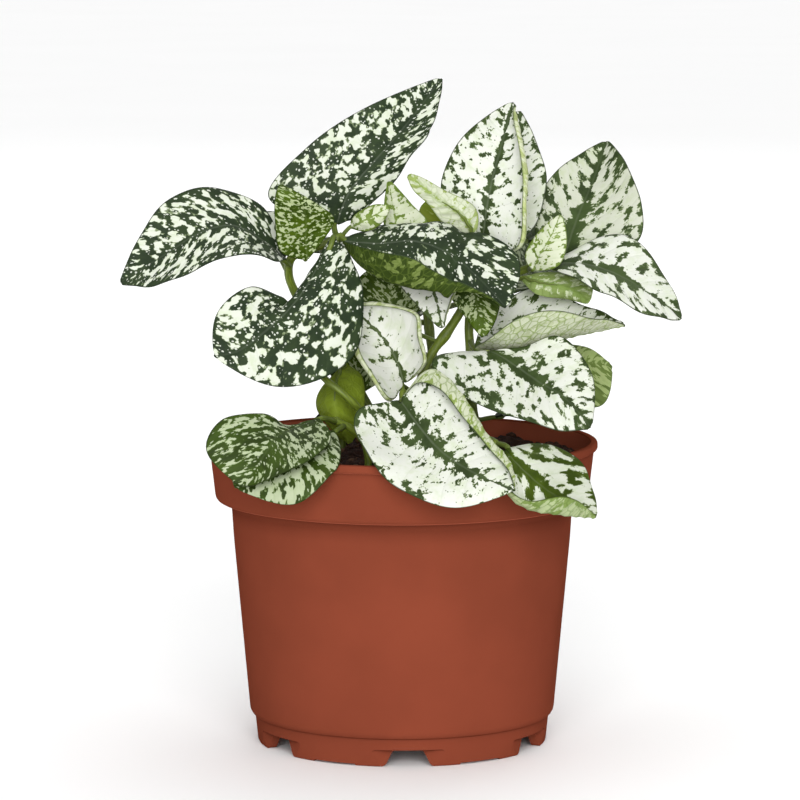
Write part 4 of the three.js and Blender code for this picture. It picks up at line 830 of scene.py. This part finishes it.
STEM = stem_material("stem_green", rgb(94, 112, 26), rgb(130, 148, 44))
STALK = stem_material("stalk_green", rgb(84, 102, 28), rgb(118, 136, 50))
for leaf_name, leaf in LEAVES.items():
    make_leaf(leaf_name, *leaf)


# ---- stems ----
# where along a stem it is thicker
STEM_SWELLS = (0.35, 0.66, 0.97)
# stems: radius, then x, y and z of the points from the soil upwards
STEMS = {
    "stem_left": (1.45,
        [-5, 2, 74, -5, 1, 92.5, -10.5, 4, 103, -17.5, 6, 113.5, -24.5, 5, 124.5, -31.5, 1, 136,
         -34.5, -3, 144, -33.5, -6, 149.5, -28.5, -6, 152, -23.5, -6, 153.5, -18, -5, 156]),
    "stem_left_side": (1.15,
        [-6.5, -12, 76, -7, -13, 94.5, -13.5, -24, 106, -18.5, -26, 111, -23.5, -24, 115,
         -25.5, -18, 118]),
    "stem_middle": (1.5,
        [3, -2, 74, 3, -2, 93, 4.5, -3, 107, 9, -2, 119.5, 14, -2, 126.5, 18.5, -3, 134, 22, -3, 142.5,
         24.5, -1, 149]),
    "stem_right": (1.5,
        [24, 6, 74, 23.5, 6, 92, 21, 4, 106, 21, 3, 118.5, 21, 5, 130, 26.5, 8, 137.5, 36, 7, 144,
         44.5, 4, 146.5]),
    "stem_front": (1.3, [0.5, -16, 76, 0.5, -17, 95, 0, -20, 103, 0.5, -17, 110]),
    "stem_front_left": (1.2, [-10.5, -23, 76, -11, -23.5, 94.5, -14.5, -25, 99, -20.5, -27, 102.5]),
    "stem_front_right": (1.2, [23.5, -26, 76, 24, -28, 95.5, 26.5, -35, 97.5, 28, -41, 97]),
    "stem_back": (1.5,
        [12, 24, 74, 12, 24, 92.5, 10.5, 22, 108.5, 8.5, 20, 124.5, 7, 22, 140, 8.5, 24, 150.5]),
    "stem_back_left": (1.25, [-19, 27, 76, -19, 27, 94, -20.5, 28.5, 100, -21, 30.5, 104.5]),
}


def make_stem(name, radius, line):
    points = xyz(line)
    count = max(24, 8 * len(points))
    rng = np.random.default_rng(len(name) * 7 + len(points))
    share = np.linspace(0, 1, count + 1)
    uneven = 0.03 * np.sin(share * 40) + 0.015 * rng.standard_normal(count + 1)
    radii = radius * (1.08 - 0.2 * share) * (1 + uneven)
    for swell in STEM_SWELLS:
        radii *= 1 + 0.16 * hill(share - swell, 0.025)
    vertices, faces, coordinates = tube_mesh(centripetal(points, count), radii, 16)
    made = make_object(name + "_fine", vertices, faces, [STEM], uvs={"stem_mm": coordinates})
    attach(made, "root")
    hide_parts(name)


for stem_name, stem in STEMS.items():
    make_stem(stem_name, *stem)


# ---- soil ----
SOIL_GAP = 0.3  # between the soil and the pot, in millimetres
SOIL_SIDES, SOIL_RINGS = 220, 90
EDGE_START, EDGE_SINK = 0.95, 16  # from where on the soil sinks towards its edge, and how steeply
CRUMB_COUNT = 1100
CRUMB_SMALL, CRUMB_SPREAD = 0.35, 1.15  # radius of the smallest, and what the largest have more
FIBRE_SHARE, FIBRE_STRETCH = 0.06, (2.6, 0.5, 0.5)
DARK_SHARE = 0.75  # share of the crumbs that have the darker of two colours


def collar_inside(z):
    """Radius of the collar's inside at a height."""
    share = (z - COLLAR_BOTTOM - 3) / (POT_HEIGHT - 0.8 - COLLAR_BOTTOM - 3)
    return COLLAR_LOW_RADIUS - WALL + share * (COLLAR_TOP_RADIUS - COLLAR_LOW_RADIUS)


def soil_height(x, y):
    """Top of the soil, as in the CAD source."""
    coarse = math.sin(0.21 * x + 0.6) * math.cos(0.18 * y - 0.4) + math.sin(0.13 * x - 0.23 * y)
    fine = math.sin(0.83 * x + 1.1 * y) * math.cos(0.71 * y - 0.52 * x)
    return SOIL_TOP + SOIL_BUMP * (0.55 * coarse + 0.45 * fine)


def clumpy_height(x, y):
    """Top of the soil with its clumps."""
    clumps = noise.fractal(Vector((x * 0.22, y * 0.22, 3.1)), 0.9, 2.1, 4)
    cell = noise.cell(Vector((x * 0.5, y * 0.5, 1.0)))
    return soil_height(x, y) + clumps + 0.5 * (cell - 0.5)


def soil_material(name, dark, light, speck):
    g = Graph(name)
    place = g.place()
    tone = g.noise(place, 0.55, 5.0, 0.7)
    colour = g.mix(g.remap(tone, 0.35, 0.68), dark, light)
    flecks = g.cells(place, 0.8)["Distance"]
    colour = g.mix(g.remap(flecks, 0.1, 0.28, 0.5, 0), colour, speck)
    g.bump(g.noise(place, 1.6, 6.0, 0.75), 0.9, 0.0012)
    return g.finish(colour, g.remap(tone, 0.3, 0.7, 0.8, 0.98), 0.2)


def crumb(rng, shape, crown):
    """Points of one crumb or fibre that lies on the soil, made of the points of a ball."""
    r = crown * math.sqrt(rng.random()) * 0.985
    angle = rng.random() * 2 * math.pi
    x, y = r * math.cos(angle), r * math.sin(angle)
    size = CRUMB_SMALL + CRUMB_SPREAD * rng.random() ** 2.6
    squash = np.array([1 + 0.5 * rng.random(), 0.7 + 0.3 * rng.random(), 0.55 + 0.35 * rng.random()])
    if rng.random() < FIBRE_SHARE:
        squash *= FIBRE_STRETCH
    turn = rng.random() * math.pi
    tilt = (rng.random() - 0.5) * 1.4
    seed = rng.random() * 60
    base = clumpy_height(x, y) + size * 0.25
    size = min(size, (crown - r) * 0.9 + 0.2)
    placed = []
    for co in shape:
        lump = 1 + 0.35 * noise.noise(co * 1.3 + Vector((seed, 0, 0)))
        a, b, c = np.array(co) * squash * size * lump
        a, c = a * math.cos(tilt) - c * math.sin(tilt), a * math.sin(tilt) + c * math.cos(tilt)
        placed.append((x + a * math.cos(turn) - b * math.sin(turn),
                       y + a * math.sin(turn) + b * math.cos(turn), base + c))
    return placed


def make_soil():
    crown = collar_inside(SOIL_TOP - 2) - SOIL_GAP
    walls = [(BODY_LOW_RADIUS - 2, FLOOR_TOP + SOIL_GAP), (BODY_LOW_RADIUS, FOOT_HEIGHT + 2.5),
             (BODY_TOP_RADIUS, COLLAR_BOTTOM + 1.3), (COLLAR_LOW_RADIUS, COLLAR_BOTTOM + 3.3)]
    rings = [circle(r - WALL - SOIL_GAP, z, SOIL_SIDES) for r, z in walls]
    rings.append(circle(crown, SOIL_TOP - 2, SOIL_SIDES))
    for ring in range(SOIL_RINGS):
        share = 1 - ring / SOIL_RINGS
        sunk = EDGE_SINK * max(0, share - EDGE_START)
        level = circle(crown * share, 0, SOIL_SIDES)
        rings.append([(x, y, clumpy_height(x, y) - sunk) for x, y, _ in level])
    vertices, faces = skin(rings, (0, 0, FLOOR_TOP + SOIL_GAP), (0, 0, soil_height(0, 0)))
    ball = bmesh.new()
    bmesh.ops.create_icosphere(ball, subdivisions=2, radius=1)
    shape = [v.co.copy() for v in ball.verts]
    shape_faces = [[v.index for v in f.verts] for f in ball.faces]
    ball.free()
    rng = np.random.default_rng(12)
    slots = [0] * len(faces)
    for _ in range(CRUMB_COUNT):
        faces += [[len(vertices) + index for index in face] for face in shape_faces]
        vertices += crumb(rng, shape, crown)
        slots += [1 if rng.random() < DARK_SHARE else 2] * len(shape_faces)
    materials = [soil_material("soil_bed", rgb(56, 32, 26), rgb(90, 56, 44), rgb(116, 80, 58)),
                 soil_material("soil_crumb", rgb(66, 40, 32), rgb(106, 72, 56), rgb(136, 100, 76)),
                 soil_material("soil_fibre", rgb(88, 58, 42), rgb(142, 104, 76), rgb(156, 122, 92))]
    made = make_object("soil_fine", vertices, faces, materials, slots)
    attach(made, "root")
    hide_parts("soil")


make_soil()


# ---- pot ----
CORNER_REACH = 0.007  # in metres: how far from an inner corner of the pot its shade reaches
POT_SIDES, DRAIN_SIDES = 180, 28
SHARP_EDGE = 28  # degrees
# the pot's outline from the middle of its floor round the outside and back: radius, height, rounding
POT_OUTLINE = [
    (0, FLOOR_LOW, 0), (FOOT_INNER_RADIUS - 1, FLOOR_LOW, 0.8), (FOOT_INNER_RADIUS, 0, 0.5),
    (FOOT_RADIUS, 0, 0.6), (FOOT_RADIUS + 0.9, FOOT_HEIGHT, 0.15),
    (FOOT_RADIUS + 1.7, FOOT_HEIGHT + 0.35, 0.5), (BODY_LOW_RADIUS - 0.15, FOOT_HEIGHT + 1.6, 1.0),
    (BODY_TOP_RADIUS - 0.6, COLLAR_BOTTOM - 11.3, 3), (BODY_TOP_RADIUS, COLLAR_BOTTOM - 1.6, 1.6),
    (BODY_TOP_RADIUS + 1.1, COLLAR_BOTTOM, 0.9),
    (COLLAR_LOW_RADIUS - 0.3, COLLAR_BOTTOM, 2.4), (COLLAR_TOP_RADIUS, POT_HEIGHT - 2.6, 0.3),
    (RIM_RADIUS, POT_HEIGHT - 2.3, 0.7), (RIM_RADIUS, POT_HEIGHT, 0.95), (RIM_RADIUS - 2.3, POT_HEIGHT, 0.7),
    (COLLAR_LOW_RADIUS - WALL, COLLAR_BOTTOM + 2, 1.2), (BODY_TOP_RADIUS - WALL, COLLAR_BOTTOM + 1, 1.2),
    (BODY_LOW_RADIUS - WALL, FOOT_HEIGHT + 2.5, 2), (BODY_LOW_RADIUS - WALL - 2, FLOOR_TOP, 1.5),
    (0, FLOOR_TOP, 0)]


def pot_material():
    g = Graph("pot_plastic")
    place = g.place()
    tone = g.noise(place, 0.035, 3.0, 0.5)
    colour = g.mix(g.remap(tone, 0.3, 0.7), rgb(139, 69, 49), rgb(147, 73, 52))
    dust = g.noise(place, 0.28, 5.0, 0.7)
    colour = g.mix(g.remap(dust, 0.6, 0.78, 0, 0.12), colour, rgb(156, 88, 66))
    # painted light and painted shade: the faces that look inwards are lighter, standing for light on the
    # inner wall, and the inner corners are dark, standing for the shade in them
    facing = g.node("ShaderNodeNewGeometry").outputs["Normal"]
    outwards = g.node("ShaderNodeVectorMath", {0: facing, 1: place}, operation="DOT_PRODUCT")
    # painted light: faces that look inwards turn towards a lighter terracotta
    colour = g.mix(g.remap(outwards.outputs["Value"], -35, -15, 1, 0), colour, rgb(196, 104, 78))
    # painted shade: an occlusion node darkens the inner corners, such as under the collar and round the
    # notches, towards a deep brown
    corner = g.node("ShaderNodeAmbientOcclusion", {"Distance": CORNER_REACH}, samples=8, only_local=True)
    colour = g.mix(g.remap(corner.outputs["AO"], 0.50, 0.97, 0.92, 0, "LINEAR"), colour, rgb(60, 24, 15))
    # faint rings from the moulding, and fine pores
    height = g.node("ShaderNodeSeparateXYZ", {0: place}).outputs[2]
    flow = g.noise(g.vector(0.0, 0.0, height), 1.1, 3.0, 0.6)
    pores = g.noise(place, 4.0, 3.0, 0.6)
    g.bump(g.math("MULTIPLY_ADD", flow, 0.5, g.math("MULTIPLY", pores, 0.5)), 0.16, 0.0003)
    return g.finish(colour, g.remap(dust, 0.3, 0.75, 0.44, 0.58), 0.0)


def flared_cutter(half_top, half_low, top, inner, turn, corner=1.4):
    """Block that widens downwards, with rounded upper corners, reaching out at `turn` degrees."""
    slope = (half_low - half_top) / top
    right = [(half_low + 3, -2, 0), (half_low + 3, 0, 0), (half_low, 0, 1.6),
             (half_top + slope * 0.2, top - 0.2, corner)]
    outline = rounded([(-x, z, radius) for x, z, radius in right] + right[::-1], 5)
    across, out = math.cos(math.radians(turn)), math.sin(math.radians(turn))
    return prism(*[[(x * across + depth * out, x * out - depth * across, z) for x, z in outline]
                   for depth in (inner, FOOT_RADIUS + 6)])


def pot_cutters():
    """Notches through the foot, a wider recess outside each, shallow gaps between them, drain holes."""
    pitch = 360 / NOTCH_COUNT
    drains = circle(DRAIN_CIRCLE, 0, NOTCH_COUNT)
    for i, (x, y, _) in enumerate(drains):
        turn = NOTCH_TURN + i * pitch
        yield flared_cutter(4.3, 7, NOTCH_TOP, FOOT_INNER_RADIUS - 6, turn)
        yield flared_cutter(10.7, 12, NOTCH_TOP, FOOT_RADIUS - 0.9, turn, 1.0)
        yield flared_cutter(7, 7, 0.8, FOOT_INNER_RADIUS - 6, turn + pitch / 2, 0.3)
        yield prism(*[circle(DRAIN_RADIUS, z, DRAIN_SIDES, x=x, y=y) for z in (FLOOR_LOW - 3, FLOOR_TOP + 3)])


def cut(body, vertices, faces):
    cutter = make_object("cutter", vertices, faces, [])
    bm = bmesh.new()
    bm.from_mesh(cutter.data)
    bmesh.ops.recalc_face_normals(bm, faces=bm.faces)
    bm.to_mesh(cutter.data)
    bm.free()
    cutting = body.modifiers.new("cut", "BOOLEAN")
    cutting.operation = "DIFFERENCE"
    cutting.solver = "EXACT"
    cutting.object = cutter
    bpy.context.view_layer.update()
    finished = bpy.data.meshes.new_from_object(body.evaluated_get(bpy.context.evaluated_depsgraph_get()))
    body.modifiers.clear()
    body.data = finished
    bpy.data.objects.remove(cutter)


def make_pot():
    profile = rounded(POT_OUTLINE)
    rings = [circle(r, z, POT_SIDES, 0.5) for r, z in profile[1:-1]]
    vertices, faces = skin(rings, (0, 0, profile[0][1]), (0, 0, profile[-1][1]))
    pot = make_object("pot_fine", vertices, faces, [pot_material()])
    for cutter in pot_cutters():
        cut(pot, *cutter)
    pot.data.polygons.foreach_set("use_smooth", [True] * len(pot.data.polygons))
    edges = bmesh.new()
    edges.from_mesh(pot.data)
    for edge in edges.edges:
        edge.smooth = len(edge.link_faces) < 2 or edge.calc_face_angle(0) < math.radians(SHARP_EDGE)
    edges.to_mesh(pot.data)
    edges.free()
    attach(pot, "root")
    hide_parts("pot")


make_pot()


# ---- floor, light and camera, in metres ----
FLOOR_HALF = 14
# the sky's brightness by height: pale at the horizon, dim above it, bright overhead
SKY = [(0.0, 0.80), (0.05, 0.80), (0.12, 0.06), (0.45, 0.06), (0.70, 0.97), (1.0, 0.97)]
KEY_TURN, KEY_HEIGHT, KEY_SOFTNESS, KEY_STRENGTH = 1.0, 15.0, 44.0, 4.2  # the first three in degrees
BACK_PLACE, BACK_AIM, BACK_SIZE, BACK_POWER = (0.4, 1.6, 1.5), (0, 0, 0.1), 1.6, 12
CAMERA_PLACE, CAMERA_TILT = (-0.0006, -1.311, 0.2696), 7.148
FOCAL_PIXELS, PHOTO_PIXELS = 4312, 800  # focal length and width of the picture


def stage_scene():
    corners = [(x * FLOOR_HALF, y * FLOOR_HALF, 0) for x, y in ((-1, -1), (1, -1), (1, 1), (-1, 1))]
    floor = bpy.data.meshes.new("floor")
    floor.from_pydata(corners, [], [(0, 1, 2, 3)])
    g = Graph("floor_pale")
    tone = g.noise(g.place(), 0.004, 2.0, 0.5)
    floor.materials.append(g.finish(g.mix(tone, (0.95, 0.95, 0.95), (0.98, 0.98, 0.98)), 0.9, 0.1))
    add_object("floor", floor)

    world = bpy.data.worlds.new("studio")
    world.use_nodes = True
    tree = world.node_tree
    way = tree.nodes.new("ShaderNodeTexCoord")
    split = tree.nodes.new("ShaderNodeSeparateXYZ")
    tree.links.new(way.outputs["Generated"], split.inputs[0])
    rise = tree.nodes.new("ShaderNodeValToRGB")
    ramp = rise.color_ramp
    while len(ramp.elements) < len(SKY):
        ramp.elements.new(0.5)
    for element, (height, level) in zip(ramp.elements, SKY):
        element.position = height
        element.color = (level, level, level, 1)
    tree.links.new(split.outputs[2], rise.inputs[0])
    tree.links.new(rise.outputs[0], tree.nodes["Background"].inputs[0])
    bpy.context.scene.world = world

    back = bpy.data.lights.new("back", "AREA")
    back.energy = BACK_POWER
    back.shape = "RECTANGLE"
    back.size = back.size_y = BACK_SIZE
    lamp = add_object("back", back)
    lamp.location = BACK_PLACE
    lamp.rotation_euler = (Vector(BACK_AIM) - Vector(BACK_PLACE)).to_track_quat("-Z", "Y").to_euler()
    key = bpy.data.lights.new("key", "SUN")
    key.energy = KEY_STRENGTH
    key.angle = math.radians(KEY_SOFTNESS)
    add_object("key", key).rotation_euler = (math.radians(90 - KEY_HEIGHT), 0, math.radians(KEY_TURN))

    camera = bpy.data.cameras.new("camera")
    camera.sensor_fit = "HORIZONTAL"
    camera.sensor_width = 36
    camera.lens = camera.sensor_width * FOCAL_PIXELS / PHOTO_PIXELS
    camera.clip_end = 40
    viewer = add_object("camera", camera)
    viewer.location = CAMERA_PLACE
    viewer.rotation_euler = (math.radians(90 - CAMERA_TILT), 0, 0)
    bpy.context.scene.camera = viewer
    bpy.context.scene.view_settings.view_transform = "Standard"


stage_scene()
